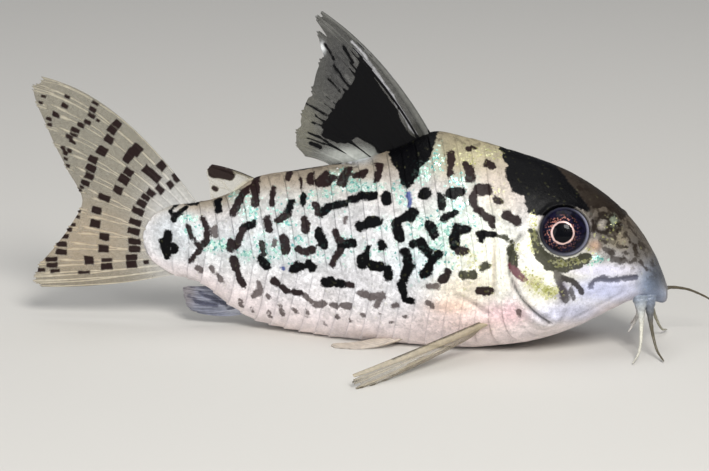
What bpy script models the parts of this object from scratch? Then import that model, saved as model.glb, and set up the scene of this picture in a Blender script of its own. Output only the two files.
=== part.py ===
"""Corydoras catfish lying on its belly, life size, in separate named parts.

The fish faces +X, its left side is +Y and the surface it lies on is z = 0. The origin
is the middle of the flat of the belly. Every size here is in millimetres and becomes
metres as a mesh is made. The body is one smooth loft, parted by thin cuts behind the
gill covers and in front of the tail stem, and every fin, feeler and eye is placed from
the same loft.
"""

import bisect
import functools
import math

import bmesh
import bpy
from mathutils import Matrix, Vector

MM = 0.001

# Outline from the side: place along the body, height of the back and of the underside
BACK = (
    (-26.0, 12.4), (-23.0, 12.9), (-20.2, 13.9), (-17.4, 15.7), (-13.0, 16.6), (-7.0, 17.9),
    (-3.0, 19.4), (0.6, 21.0), (3.0, 20.6), (8.0, 19.35), (13.0, 17.7), (17.3, 15.2),
    (20.3, 12.3), (22.0, 9.7), (23.0, 7.5), (23.5, 6.1),
)
UNDERSIDE = (
    (-26.0, 5.1), (-23.5, 4.5), (-20.2, 2.2), (-17.4, 0.8), (-13.6, 0.1), (-9.0, -0.25),
    (-2.0, -0.4), (4.0, -0.35), (7.5, 0.1), (10.0, 0.55), (12.2, 1.2), (15.2, 2.45),
    (18.3, 4.15), (20.6, 5.2), (23.0, 5.1), (23.5, 5.3),
)
# Outline from the front: half the width, and the height where the body is widest
HALF_WIDTH = (
    (-26.0, 1.1), (-22.0, 1.9), (-19.0, 2.6), (-15.0, 3.6), (-11.0, 4.6), (-6.0, 5.7),
    (-1.0, 6.5), (4.0, 6.95), (8.0, 6.9), (11.0, 6.55), (14.0, 6.0), (17.0, 5.1),
    (20.0, 3.8), (22.0, 2.7), (23.0, 1.8), (23.5, 1.0),
)
WIDEST_AT = (
    (-26.0, 8.8), (-20.0, 8.0), (-13.0, 7.6), (-5.0, 7.2), (4.0, 6.9), (10.0, 6.8),
    (14.0, 6.9), (18.0, 7.3), (21.0, 7.4), (22.5, 6.6), (23.5, 5.7),
)
# How pinched the back is (over 1) and how flat the underside is (under 1)
BACK_PINCH = ((-26.0, 1.0), (-10.0, 1.15), (2.0, 1.2), (12.0, 1.05), (20.0, 0.95), (23.5, 0.9))
UNDERSIDE_FLATNESS = ((-26.0, 1.0), (-14.0, 0.9), (-8.0, 0.72), (8.0, 0.72), (20.0, 0.8), (23.5, 1.0))
# How much a raised form leans sideways rather than up
SIDEWAYS_LEAN = 1.2

# Where the body is parted
GAP = 0.3
CUT_GAP = 0.36
SNOUT_X = 23.45
STEM_X = -13.6
STEM_END_X = -26.0
GILL_EDGE = ((0.0, 6.2), (0.25, 7.7), (0.42, 9.3), (0.58, 9.6), (0.72, 10.5), (0.86, 12.3), (1.0, 13.6))
GILL_MIDDLE_X = 9.2

# Bony plates in two rows on each flank, their edges bent forward where the rows meet
TRUNK_PLATES = 15
STEM_PLATES = 8
PLATE_RISE = 0.16
PLATE_STEP = 0.1
CHEVRON = 2.6
TRUNK_LEAN_SHARE = 0.3
NAKED_BELLY = (0.8, 0.9)
NAKED_BELLY_REAR_X = -9.0
# Turns round the body where the plates end beside the back, where the rows meet and below
BACK_SEAM = (0.02, 0.1)
FLANK_SEAM = 0.05
UNDERSIDE_SEAM = (0.93, 0.99)

AROUND = 32
HEAD_AROUND = 40
HEAD_RINGS = 22
SNOUT_TIP = 0.05
CLEARANCE_RINGS = 60
SHARP_ANGLE = 35

# Gill cover, raised on the side of the head
COVER_MIDDLE = (12.1, 7.6)
COVER_REACH = (2.7, 4.7)
COVER_RISE = 0.45
COVER_RIM = (0.82, 1.04)

# Eye and its socket
EYE_MIDDLE = (13.8, 12.8)
EYE_RADIUS = 2.45
EYE_DEPTH = 1.75
EYE_SINK = 0.9
EYE_LOOK = Vector((0.15, -0.92, 0.36))
EYE_SEGMENTS = (20, 12)

# Nostrils: place along the head, height, ring radius and tube radius
NOSTRILS = ((17.7, 13.05, 0.36, 0.19), (18.85, 12.95, 0.33, 0.17))
NOSTRIL_SEGMENTS = (10, 6)
NOSTRIL_LIFT = 0.45
NORMAL_REACH = 0.3

# Lips: half-width of the mouth, how far forward each lip bows, and its tube
MOUTH_HALF_WIDTH = 2.25
MOUTH_CORNER = Vector((20.9, 0.0, 5.15))
LIPS = (
    {"bow": 2.3, "drop": -0.15, "radius": 0.5},
    {"bow": 1.1, "drop": -0.55, "radius": 0.46},
)
LIP_POINTS = 7
LIP_STEPS = 14
LIP_SIDES = 8

# Feelers at the right of the mouth and at its left: points along each, root to tip
BARBEL_ROOT_RADIUS = 0.42
BARBEL_TIP_RADIUS = 0.2
BARBEL_SIDES = 8
BARBEL_STEPS = 12
TUBE_AHEAD = 0.02
BARBELS = {
    "lower_barbel_right": (
        (21.15, -2.5, 4.9), (21.3, -3.1, 3.4), (21.35, -3.7, 1.9), (21.2, -4.6, 0.7), (20.8, -6.2, 0.2),
    ),
    "upper_barbel_right": (
        (21.95, -2.0, 4.9), (22.15, -2.5, 3.4), (22.5, -3.0, 1.9), (23.0, -3.7, 0.7), (23.7, -5.0, 0.2),
    ),
    "upper_barbel_left": (
        (22.3, 2.0, 5.1), (23.5, 2.9, 5.4), (25.0, 3.8, 5.1), (26.6, 4.7, 4.3), (28.1, 5.4, 3.3),
    ),
    "lower_barbel_left": (
        (21.3, 2.5, 4.9), (21.8, 3.0, 3.4), (22.3, 3.4, 1.9), (22.8, 4.2, 0.7), (23.2, 5.7, 0.2),
    ),
    "chin_barbel_right": ((20.9, -0.9, 4.3), (20.75, -1.0, 3.5), (20.4, -1.2, 2.7), (19.9, -1.4, 1.9)),
    "chin_barbel_left": ((20.9, 0.9, 4.3), (20.75, 1.0, 3.5), (20.4, 1.2, 2.7), (19.9, 1.4, 1.9)),
}

# Fins. Each has its rays' roots and tips in order from the leading edge, how far the
# leading, middle and trailing rays bow, and the way its face looks. The roots start
# inside the body, which trims them.
UPRIGHT = (0.0, 1.0, 0.0)
MEMBRANE = 0.5
RAY = 0.8
SPINE = 1.1
FIN_TIP_SHARE = 0.62
RIDGE_SHARE = 0.3
DORSAL = {
    "roots": ((0.1, 0.0, 20.4), (-4.5, 0.0, 18.3), (-9.4, 0.0, 16.8)),
    "tips": (
        (-10.9, 0.0, 32.6), (-11.4, 0.0, 31.6), (-11.1, 0.0, 28.6), (-12.2, 0.0, 24.9),
        (-13.3, 0.0, 21.7), (-13.6, 0.0, 19.4), (-12.6, 0.0, 18.0),
    ),
    "bows": ((0.5, 0.0, 0.9), (0.1, 0.0, 0.3), (0.0, 0.0, 0.2)),
    "face": UPRIGHT,
    "rays": 9,
    "rows": 6,
    "spine": True,
}
CAUDAL = {
    "roots": ((-23.3, 0.0, 12.1), (-25.3, 0.0, 8.8), (-24.4, 0.0, 5.6)),
    "tips": (
        (-39.4, 0.0, 25.0), (-40.6, 0.0, 23.8), (-39.5, 0.0, 20.9), (-38.4, 0.0, 18.4),
        (-37.1, 0.0, 15.5), (-35.7, 0.0, 12.4), (-37.1, 0.0, 9.8), (-38.8, 0.0, 7.4),
        (-40.6, 0.0, 5.0), (-40.9, 0.0, 3.9), (-40.0, 0.0, 3.2),
    ),
    "bows": ((0.0, 0.0, 2.5), (0.0, 0.0, 0.3), (0.0, 0.0, -0.5)),
    "face": UPRIGHT,
    "rays": 14,
    "rows": 6,
    "spine": False,
}
ANAL = {
    "roots": ((-17.6, 0.0, 1.9), (-19.8, 0.0, 2.9), (-22.0, 0.0, 4.2)),
    "tips": (
        (-23.6, 0.0, 1.15), (-24.7, 0.0, 1.7), (-25.2, 0.0, 2.9), (-25.3, 0.0, 3.7), (-24.7, 0.0, 4.0),
    ),
    "bows": ((0.0, 0.0, -0.5), (0.0, 0.0, -0.2), (0.0, 0.0, -0.1)),
    "face": UPRIGHT,
    "rays": 7,
    "rows": 4,
    "spine": False,
}
ADIPOSE = {
    "roots": ((-17.3, 0.0, 15.2), (-19.5, 0.0, 13.6), (-21.9, 0.0, 12.6)),
    "tips": ((-22.6, 0.0, 16.6), (-22.5, 0.0, 15.2), (-22.6, 0.0, 13.4)),
    "bows": ((0.0, 0.0, 0.2), (0.0, 0.0, 0.1), (0.0, 0.0, 0.0)),
    "face": UPRIGHT,
    "rays": 3,
    "rows": 4,
    "spine": True,
}
PECTORAL = {
    "roots": ((7.2, -5.6, 3.9), (6.5, -5.5, 3.2), (5.7, -5.3, 2.4)),
    "tips": (
        (-4.3, -18.0, 1.5), (-4.4, -18.1, 0.7), (-3.9, -18.0, 0.0), (-3.0, -17.0, 0.0),
        (-2.3, -15.4, 0.0), (-1.7, -13.6, 0.0), (-1.1, -11.7, 0.0), (-0.5, -9.7, 0.0),
        (0.3, -7.8, 0.1),
    ),
    "bows": ((0.2, 0.0, 0.0), (0.1, 0.0, -0.3), (0.1, -0.1, -0.3)),
    "face": (0.62, -0.42, -0.55),
    "rays": 9,
    "rows": 6,
    "spine": True,
}
PELVIC = {
    "roots": ((-1.4, -4.0, 1.2), (-2.4, -3.8, 1.1), (-3.4, -3.6, 1.0)),
    "tips": (
        (-7.0, -5.9, 0.1), (-8.4, -5.8, 0.0), (-9.1, -5.2, 0.0), (-8.9, -4.6, 0.0),
        (-7.8, -4.2, 0.0),
    ),
    "bows": ((0.2, -0.3, -0.2), (0.0, -0.2, -0.2), (0.0, -0.1, -0.1)),
    "face": (0.0, 0.0, -1.0),
    "rays": 7,
    "rows": 4,
    "spine": False,
}

# Colour, roughness and metallic value of each part
LOOKS = {
    "head": ((0.42, 0.38, 0.30), 0.35, 0.1),
    "trunk": ((0.62, 0.60, 0.56), 0.35, 0.15),
    "tail_stem": ((0.60, 0.58, 0.55), 0.35, 0.15),
    "eye": ((0.02, 0.02, 0.05), 0.08, 0.0),
    "dorsal_fin": ((0.03, 0.03, 0.04), 0.45, 0.0),
    "anal_fin": ((0.16, 0.18, 0.22), 0.45, 0.0),
    "adipose_fin": ((0.30, 0.26, 0.22), 0.45, 0.0),
    "fin": ((0.55, 0.48, 0.38), 0.45, 0.0),
    "barbel": ((0.42, 0.43, 0.40), 0.5, 0.0),
}


def clear_scene():
    """Remove everything that a new file starts with."""
    for item in list(bpy.data.objects):
        bpy.data.objects.remove(item, do_unlink=True)


def new_collection(name):
    """Return a new collection in the scene."""
    made = bpy.data.collections.new(name)
    bpy.context.scene.collection.children.link(made)
    return made


@functools.lru_cache(maxsize=None)
def slopes_of(table):
    """Return the slope at each point of a curve that never overshoots its points."""
    steps = [(b[1] - a[1]) / (b[0] - a[0]) for a, b in zip(table, table[1:])]
    inner = [2 * a * b / (a + b) if a * b > 0 else 0.0 for a, b in zip(steps, steps[1:])]
    return [steps[0]] + inner + [steps[-1]]


def smooth(table, place):
    """Read a smooth curve through the table's (place, value) pairs."""
    if place <= table[0][0]:
        return table[0][1]
    if place >= table[-1][0]:
        return table[-1][1]
    i = bisect.bisect_right([row[0] for row in table], place) - 1
    slopes = slopes_of(table)
    span = table[i + 1][0] - table[i][0]
    t = (place - table[i][0]) / span
    start = (1 + 2 * t) * (1 - t) ** 2 * table[i][1] + t * (1 - t) ** 2 * span * slopes[i]
    end = t * t * (3 - 2 * t) * table[i + 1][1] - t * t * (1 - t) * span * slopes[i + 1]
    return start + end


def along(points, share):
    """Return the point at a share of the way along a smooth curve through 3D points."""
    last = len(points) - 1
    axes = [tuple((i / last, p[axis]) for i, p in enumerate(points)) for axis in range(3)]
    return Vector([smooth(axis, share) for axis in axes])


def ease(low, high, value):
    """Rise smoothly from 0 at low to 1 at high."""
    t = min(max((value - low) / (high - low), 0.0), 1.0)
    return t * t * (3 - 2 * t)


def body_point(x, turn, side, grow=0.0):
    """Return the body's surface at x, with turn 0 at the back and 1 at the underside."""
    height = smooth(WIDEST_AT, x)
    cosine = math.cos(math.pi * turn)
    sine = max(math.sin(math.pi * turn), 0.0)
    if cosine >= 0:
        reach = smooth(BACK, x) - height
        y = smooth(HALF_WIDTH, x) * sine ** smooth(BACK_PINCH, x)
        z = height + reach * cosine
    else:
        flatness = smooth(UNDERSIDE_FLATNESS, x)
        reach = height - smooth(UNDERSIDE, x)
        y = smooth(HALF_WIDTH, x) * sine ** flatness
        z = height - reach * (-cosine) ** (0.5 + 0.5 * flatness)
    out = Vector((0.0, y * SIDEWAYS_LEAN, z - height))
    if out.length > 0:
        out.normalize()
    return Vector((x, side * (y + grow * out.y), z + grow * out.z))


def plate_lean(turn):
    """Return how far the plates' edges lean forward at this turn round the flank."""
    return CHEVRON * (0.5 - 2 * abs(turn - 0.5))


def plate_rise(x, turn):
    """Return how far a plate's rear edge stands out at this place on the body."""
    rise = PLATE_RISE * ease(*BACK_SEAM, turn) * ease(0.0, FLANK_SEAM, abs(turn - 0.5))
    if x > NAKED_BELLY_REAR_X:
        rise *= 1 - ease(*NAKED_BELLY, turn)
    return rise * (1 - ease(*UNDERSIDE_SEAM, turn))


def ring(count, place):
    """Return one ring of points, where place(turn, side) gives each one."""
    points = []
    for j in range(count):
        turn = 2 * j / count
        side = -1 if turn <= 1 else 1
        points.append(place(min(turn, 2 - turn), side))
    return points


def floored(point):
    """Return the point, lifted to the floor if it is under it."""
    return Vector((point.x, point.y, max(point.z, 0.0)))


def loft(name, rings, front_middle, rear_middle):
    """Return a closed mesh through rings that run from front to rear."""
    shape = bmesh.new()
    rows = [[shape.verts.new(floored(p) * MM) for p in points] for points in rings]
    count = len(rows[0])
    for front, rear in zip(rows, rows[1:]):
        for j in range(count):
            k = (j + 1) % count
            shape.faces.new((front[j], front[k], rear[k], rear[j]))
    for row, middle, order in ((rows[0], front_middle, -1), (rows[-1], rear_middle, 1)):
        tip = shape.verts.new(floored(middle) * MM)
        for j in range(count):
            pair = (row[j], row[(j + 1) % count])[::order]
            shape.faces.new((*pair, tip))
    bmesh.ops.recalc_face_normals(shape, faces=shape.faces)
    mesh = bpy.data.meshes.new(name)
    shape.to_mesh(mesh)
    shape.free()
    return mesh


def head_mesh():
    """Return the head, from the gill opening to the snout."""
    rings = []
    for i in range(HEAD_RINGS + 1):
        share = math.sin(0.5 * math.pi * i / HEAD_RINGS)

        def place(turn, side, share=share):
            edge = smooth(GILL_EDGE, turn)
            x = edge + (SNOUT_X - edge) * share
            point = body_point(x, turn, side)
            far = math.hypot(
                (x - COVER_MIDDLE[0]) / COVER_REACH[0], (point.z - COVER_MIDDLE[1]) / COVER_REACH[1]
            )
            return body_point(x, turn, side, COVER_RISE * (1 - ease(*COVER_RIM, far)))

        rings.append(ring(HEAD_AROUND, place))
    rings.reverse()
    snout = Vector((SNOUT_X + SNOUT_TIP, 0.0, smooth(WIDEST_AT, SNOUT_X)))
    rear = Vector((GILL_MIDDLE_X, 0.0, smooth(WIDEST_AT, GILL_MIDDLE_X)))
    return loft("head", rings, snout, rear)


def plated_rings(count, place_x):
    """Return two rings for each plate: its low front edge and its raised rear edge."""
    rings = []
    for i in range(count):
        for share, raised in ((i / count, 0), ((i + 1) / count, 1)):

            def place(turn, side, share=share, raised=raised):
                x = place_x(share, turn) - (0 if raised or share == 0 else PLATE_STEP)
                return body_point(x, turn, side, raised * plate_rise(x, turn))

            rings.append(ring(AROUND, place))
    return rings


def trunk_mesh():
    """Return the trunk, from the gill opening to the tail stem."""

    def place_x(share, turn):
        front = smooth(GILL_EDGE, turn) - CUT_GAP
        middle = GILL_MIDDLE_X - CUT_GAP
        straight = middle + (STEM_X - middle) * share
        lean = ease(0.0, TRUNK_LEAN_SHARE, share) * plate_lean(turn)
        return straight + (front - middle) * (1 - share) ** 3 + lean

    front = Vector((GILL_MIDDLE_X - CUT_GAP, 0.0, smooth(WIDEST_AT, GILL_MIDDLE_X)))
    rear = Vector((STEM_X, 0.0, smooth(WIDEST_AT, STEM_X)))
    return loft("trunk", plated_rings(TRUNK_PLATES, place_x), front, rear)


def tail_stem_mesh():
    """Return the tail stem, from the trunk to the root of the tail fin."""

    def place_x(share, turn):
        straight = STEM_X - CUT_GAP + (STEM_END_X - STEM_X + CUT_GAP) * share
        return straight + (1 - share**2) * plate_lean(turn)

    front = Vector((STEM_X - CUT_GAP, 0.0, smooth(WIDEST_AT, STEM_X)))
    rear = Vector((STEM_END_X, 0.0, smooth(WIDEST_AT, STEM_END_X)))
    return loft("tail_stem", plated_rings(STEM_PLATES, place_x), front, rear)


def clearance_mesh():
    """Return the whole body grown by the gap that its fins and feelers keep to it."""
    grow = GAP + PLATE_RISE
    rings = []
    for i in range(CLEARANCE_RINGS + 1):
        x = SNOUT_X + (STEM_END_X - SNOUT_X) * i / CLEARANCE_RINGS
        rings.append(ring(AROUND, lambda turn, side, x=x: body_point(x, turn, side, grow)))
    front = Vector((SNOUT_X + GAP, 0.0, smooth(WIDEST_AT, SNOUT_X)))
    rear = Vector((STEM_END_X - GAP, 0.0, smooth(WIDEST_AT, STEM_END_X)))
    rings.append([p - Vector((GAP, 0.0, 0.0)) for p in rings[-1]])
    return loft("body_clearance", rings, front, rear)


def fin_columns(rays):
    """Return where the columns of a fin's grid stand, and which are on a ray."""
    pitch = 1 / (rays - 1)
    columns = []
    for i in range(rays):
        for offset, on_ray in ((-RIDGE_SHARE, 0), (0.0, 1), (RIDGE_SHARE, 0)):
            if 0 <= i + offset <= rays - 1:
                columns.append(((i + offset) * pitch, on_ray, i))
    return columns


def fin_mesh(name, size, mirror=1):
    """Return a fin as two alike faces with a ridge on both along every ray."""

    def point(across, out):
        root = along(size["roots"], across)
        tip = along(size["tips"], across)
        bow = along(size["bows"], across)
        return root.lerp(tip, out) + bow * (4 * out * (1 - out))

    shape = bmesh.new()
    sheets = ([], [])
    face = Vector(size["face"]).normalized()
    for across, on_ray, number in fin_columns(size["rays"]):
        columns = ([], [])
        for row in range(size["rows"] + 1):
            out = row / size["rows"]
            here = point(across, out)
            thick = MEMBRANE
            if on_ray:
                thick = SPINE if number == 0 and size["spine"] else RAY
            thick *= 1 + (FIN_TIP_SHARE - 1) * out**2
            faces = [here + face * (way * thick / 2) for way in (1, -1)]
            sunk = max(-min(place.z for place in faces), 0.0)
            for column, place in zip(columns, faces):
                place.z += sunk
                place.y *= mirror
                column.append(shape.verts.new(place * MM))
        sheets[0].append(columns[0])
        sheets[1].append(columns[1])
    for sheet, order in zip(sheets, (1, -1)):
        for left, right in zip(sheet, sheet[1:]):
            for i in range(size["rows"]):
                for corners in ((left[i], right[i], right[i + 1]), (left[i], right[i + 1], left[i + 1])):
                    shape.faces.new(corners[::order])
    rims = [
        [(upper[i], lower[i]) for i in range(size["rows"] + 1)]
        for upper, lower in ((sheets[0][0], sheets[1][0]), (sheets[0][-1], sheets[1][-1]))
    ]
    for end in (0, -1):
        rims.append([(upper[end], lower[end]) for upper, lower in zip(*sheets)])
    for rim in rims:
        for (a, b), (c, d) in zip(rim, rim[1:]):
            shape.faces.new((a, b, d))
            shape.faces.new((a, d, c))
    bmesh.ops.recalc_face_normals(shape, faces=shape.faces)
    mesh = bpy.data.meshes.new(name)
    shape.to_mesh(mesh)
    shape.free()
    return mesh


def tube_mesh(name, points, radius_at, steps, sides):
    """Return a closed tube along a smooth curve, with radius_at(share) as its radius."""
    rings = []
    for i in range(steps + 1):
        share = i / steps
        middle = along(points, share)
        ahead = along(points, min(share + TUBE_AHEAD, 1)) - along(points, max(share - TUBE_AHEAD, 0))
        turn = ahead.to_track_quat("Z", "Y")
        rings.append(
            [
                middle + turn @ Vector((math.cos(a), math.sin(a), 0)) * radius_at(share)
                for a in (2 * math.pi * (j + 0.5) / sides for j in range(sides))
            ]
        )
    return loft(name, rings, along(points, 0.0), along(points, 1.0))


def barbel_mesh(name, points, grow=0.0):
    """Return one tapering feeler, or the same shape grown by the gap it keeps."""

    def radius_at(share):
        return BARBEL_ROOT_RADIUS + (BARBEL_TIP_RADIUS - BARBEL_ROOT_RADIUS) * share + grow

    root = Vector(points[0])
    ahead = (Vector(points[1]) - root).normalized()
    grown = (tuple(root - ahead * grow), *points[1:])
    return tube_mesh(name, grown, radius_at, BARBEL_STEPS, BARBEL_SIDES)


def add_object(name, mesh, collection, look=None):
    """Put a mesh in the scene under this name, with the part's own material."""
    made = bpy.data.objects.new(name, mesh)
    collection.objects.link(made)
    mesh.shade_smooth()
    mesh.set_sharp_from_angle(angle=math.radians(SHARP_ANGLE))
    if look:
        colour, roughness, metallic = LOOKS[look]
        material = bpy.data.materials.new(name)
        material.use_nodes = True
        shader = material.node_tree.nodes["Principled BSDF"]
        shader.inputs["Base Color"].default_value = (*colour, 1.0)
        shader.inputs["Roughness"].default_value = roughness
        shader.inputs["Metallic"].default_value = metallic
        mesh.materials.append(material)
    return made


def add_cutter(name, mesh, collection):
    """Put a mesh in the scene as a cutting shape only."""
    made = add_object(name, mesh, collection)
    made.hide_render = True
    made.display_type = "WIRE"
    return made


def largest_piece(mesh):
    """Keep only the largest closed surface of a mesh."""
    shape = bmesh.new()
    shape.from_mesh(mesh)
    shape.verts.ensure_lookup_table()
    left = set(shape.verts)
    groups = []
    while left:
        start = left.pop()
        group = {start}
        front = [start]
        while front:
            vert = front.pop()
            for edge in vert.link_edges:
                other = edge.other_vert(vert)
                if other in left:
                    left.remove(other)
                    group.add(other)
                    front.append(other)
        groups.append(group)
    keep = max(groups, key=len)
    bmesh.ops.delete(shape, geom=[v for v in shape.verts if v not in keep], context="VERTS")
    shape.to_mesh(mesh)
    shape.free()


def combine(body, operation, tool=None, collection=None, solver="EXACT"):
    """Join or cut a part with a tool or a whole collection, and apply the result."""
    change = body.modifiers.new("combine", "BOOLEAN")
    change.operation = operation
    change.solver = solver
    if collection:
        change.operand_type = "COLLECTION"
        change.collection = collection
    else:
        change.object = tool
    bpy.context.view_layer.update()
    evaluated = body.evaluated_get(bpy.context.evaluated_depsgraph_get())
    result = bpy.data.meshes.new_from_object(evaluated)
    body.modifiers.clear()
    old = body.data
    body.data = result
    bpy.data.meshes.remove(old)
    largest_piece(result)


def eyeball_mesh(name, side, grow=0.0):
    """Return an eye, or the same shape grown by the gap it keeps."""
    middle, look = eye_place(side)
    radii = (EYE_RADIUS + grow, EYE_RADIUS + grow, EYE_DEPTH + grow)
    segments, rings = EYE_SEGMENTS
    shape = bmesh.new()
    bmesh.ops.create_uvsphere(shape, u_segments=segments, v_segments=rings, radius=1.0)
    turn = look.to_track_quat("Z", "Y").to_matrix().to_4x4()
    size = Matrix.Diagonal((*radii, 1.0))
    shape.transform(Matrix.Translation(middle * MM) @ turn @ size @ Matrix.Scale(MM, 4))
    mesh = bpy.data.meshes.new(name)
    shape.to_mesh(mesh)
    shape.free()
    return mesh


def on_flank(x, z, side):
    """Return the point of the body's surface at this place seen from the side."""
    low, high = 0.0, 1.0
    for _ in range(30):
        turn = (low + high) / 2
        if body_point(x, turn, side).z > z:
            low = turn
        else:
            high = turn
    return body_point(x, turn, side)


def eye_place(side):
    """Return the middle of an eye and the way it looks."""
    look = Vector((EYE_LOOK.x, -side * EYE_LOOK.y, EYE_LOOK.z)).normalized()
    return on_flank(*EYE_MIDDLE, side) - look * EYE_SINK, look


def torus_mesh(name, middle, look, ring_radius, tube_radius):
    """Return a small raised ring that lies on the surface."""
    shape = bmesh.new()
    turn = look.to_track_quat("Z", "Y")
    major, minor = NOSTRIL_SEGMENTS
    rows = []
    for i in range(major):
        a = 2 * math.pi * i / major
        row = []
        for j in range(minor):
            b = 2 * math.pi * j / minor
            reach = ring_radius + tube_radius * math.cos(b)
            local = Vector((reach * math.cos(a), reach * math.sin(a), tube_radius * math.sin(b)))
            row.append(shape.verts.new((middle + turn @ local) * MM))
        rows.append(row)
    for i in range(major):
        for j in range(minor):
            a, b = rows[i], rows[(i + 1) % major]
            shape.faces.new((a[j], b[j], b[(j + 1) % minor], a[(j + 1) % minor]))
    bmesh.ops.recalc_face_normals(shape, faces=shape.faces)
    mesh = bpy.data.meshes.new(name)
    shape.to_mesh(mesh)
    shape.free()
    return mesh


def flank_normal(x, z, side):
    """Return the way the body's surface faces at this place seen from the side."""
    here = on_flank(x, z, side)
    ahead = on_flank(x + NORMAL_REACH, z, side) - here
    up = on_flank(x, z + NORMAL_REACH, side) - here
    normal = ahead.cross(up).normalized()
    return normal if normal.y * side > 0 else -normal


def lip_points(lip):
    """Return the points along one lip, from the right corner of the mouth to the left."""
    points = []
    for i in range(LIP_POINTS):
        a = math.pi * i / (LIP_POINTS - 1)
        sideways = Vector((0.0, -MOUTH_HALF_WIDTH * math.cos(a), 0.0))
        forward = Vector((lip["bow"] * math.sin(a), 0.0, lip["drop"] * math.sin(a)))
        points.append(MOUTH_CORNER + sideways + forward)
    return points


def build_head(parts, cutters):
    """Build the head with its lips and nostrils, and cut the eye sockets."""
    head = add_object("head", head_mesh(), parts, "head")
    pieces = new_collection("head_pieces")
    for number, lip in enumerate(LIPS):
        name = f"lip_{number}"
        mesh = tube_mesh(
            name, lip_points(lip), lambda share, lip=lip: lip["radius"], LIP_STEPS, LIP_SIDES
        )
        add_object(name, mesh, pieces)
    for side in (-1, 1):
        for number, (x, z, ring_radius, tube_radius) in enumerate(NOSTRILS):
            look = flank_normal(x, z, side)
            middle = on_flank(x, z, side) + look * (tube_radius * NOSTRIL_LIFT)
            name = f"nostril_{number}_{'right' if side < 0 else 'left'}"
            add_object(name, torus_mesh(name, middle, look, ring_radius, tube_radius), pieces)
    combine(head, "UNION", collection=pieces)
    for item in list(pieces.objects):
        bpy.data.objects.remove(item, do_unlink=True)
    bpy.data.collections.remove(pieces)
    for side, word in ((-1, "right"), (1, "left")):
        socket = eyeball_mesh(f"socket_{word}", side, GAP)
        combine(head, "DIFFERENCE", add_cutter(f"socket_{word}", socket, cutters))
    for name, points in BARBELS.items():
        seat = add_cutter(f"{name}_seat", barbel_mesh(f"{name}_seat", points, GAP), cutters)
        combine(head, "DIFFERENCE", seat, solver="MANIFOLD")


def build_eyes(parts):
    """Build the two eyes."""
    for side, word in ((-1, "right"), (1, "left")):
        add_object(f"eye_{word}", eyeball_mesh(f"eye_{word}", side), parts, "eye")


def build_fins(parts, clearance):
    """Build every fin and trim its root to the body."""
    fins = (
        ("dorsal_fin", DORSAL, 1, "dorsal_fin"),
        ("adipose_fin", ADIPOSE, 1, "adipose_fin"),
        ("anal_fin", ANAL, 1, "anal_fin"),
        ("caudal_fin", CAUDAL, 1, "fin"),
        ("pectoral_fin_right", PECTORAL, 1, "fin"),
        ("pectoral_fin_left", PECTORAL, -1, "fin"),
        ("pelvic_fin_right", PELVIC, 1, "fin"),
        ("pelvic_fin_left", PELVIC, -1, "fin"),
    )
    for name, size, mirror, look in fins:
        fin = add_object(name, fin_mesh(name, size, mirror), parts, look)
        combine(fin, "DIFFERENCE", clearance, solver="MANIFOLD")


def build_barbels(parts):
    """Build the feelers round the mouth."""
    for name, points in BARBELS.items():
        add_object(name, barbel_mesh(name, points), parts, "barbel")


def main():
    """Build the whole fish."""
    clear_scene()
    parts = new_collection("corydoras_catfish")
    cutters = new_collection("cutters")
    clearance = add_cutter("body_clearance", clearance_mesh(), cutters)
    build_head(parts, cutters)
    add_object("trunk", trunk_mesh(), parts, "trunk")
    add_object("tail_stem", tail_stem_mesh(), parts, "tail_stem")
    build_eyes(parts)
    build_fins(parts, clearance)
    build_barbels(parts)


main()
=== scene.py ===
"""Corydoras catfish lying on its belly: its looks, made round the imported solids.

The fish faces +X, its left side is +Y and it lies on z = 0. Every size is in millimetres
until a mesh is made. One skin covers the head, trunk and tail stem, with the bony plates,
gill covers, lips and nostrils raised in its mesh. Fins, eyes and feelers are pieces of
their own. Markings are strokes, patches and washes of colour laid on the meshes, placed
on a side drawing of the fish, ten units to the millimetre.
"""

from __future__ import annotations

import logging
import math
from dataclasses import dataclass, field
from enum import Enum
from typing import Any, Sequence

import bpy
import numpy as np
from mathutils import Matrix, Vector


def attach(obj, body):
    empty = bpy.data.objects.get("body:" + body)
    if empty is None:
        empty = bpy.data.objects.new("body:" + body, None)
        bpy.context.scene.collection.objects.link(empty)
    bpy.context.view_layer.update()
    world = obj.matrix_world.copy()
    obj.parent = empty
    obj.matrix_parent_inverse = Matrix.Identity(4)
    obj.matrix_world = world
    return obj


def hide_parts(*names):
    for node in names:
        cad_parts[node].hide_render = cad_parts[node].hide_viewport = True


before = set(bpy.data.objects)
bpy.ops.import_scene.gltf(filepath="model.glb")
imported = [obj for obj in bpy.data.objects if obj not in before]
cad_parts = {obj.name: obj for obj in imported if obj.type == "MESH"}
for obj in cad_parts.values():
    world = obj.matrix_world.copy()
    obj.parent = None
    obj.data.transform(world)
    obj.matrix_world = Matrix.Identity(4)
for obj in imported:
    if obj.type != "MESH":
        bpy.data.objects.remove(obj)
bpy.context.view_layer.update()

LOG = logging.getLogger("catfish")
MM = 0.001
Array = np.ndarray
Colour = tuple[float, float, float]
Place = tuple[float, float]
Point = tuple[float, float, float]


def linear(colour: Sequence[float]) -> Array:
    """Turn a colour of 0 to 255 into the linear values that shaders use.

    Args:
        colour: red, green and blue from 0 to 255.

    Returns:
        The three linear values from 0 to 1.
    """
    share = np.asarray(colour, float) / 255
    return np.where(share <= 0.04045, share / 12.92, ((share + 0.055) / 1.055) ** 2.4)


def opaque(colour: Sequence[float]) -> tuple[float, ...]:
    """Return a colour of 0 to 255 as a shader's value that hides what is under it."""
    return (*linear(colour), 1.0)


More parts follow.
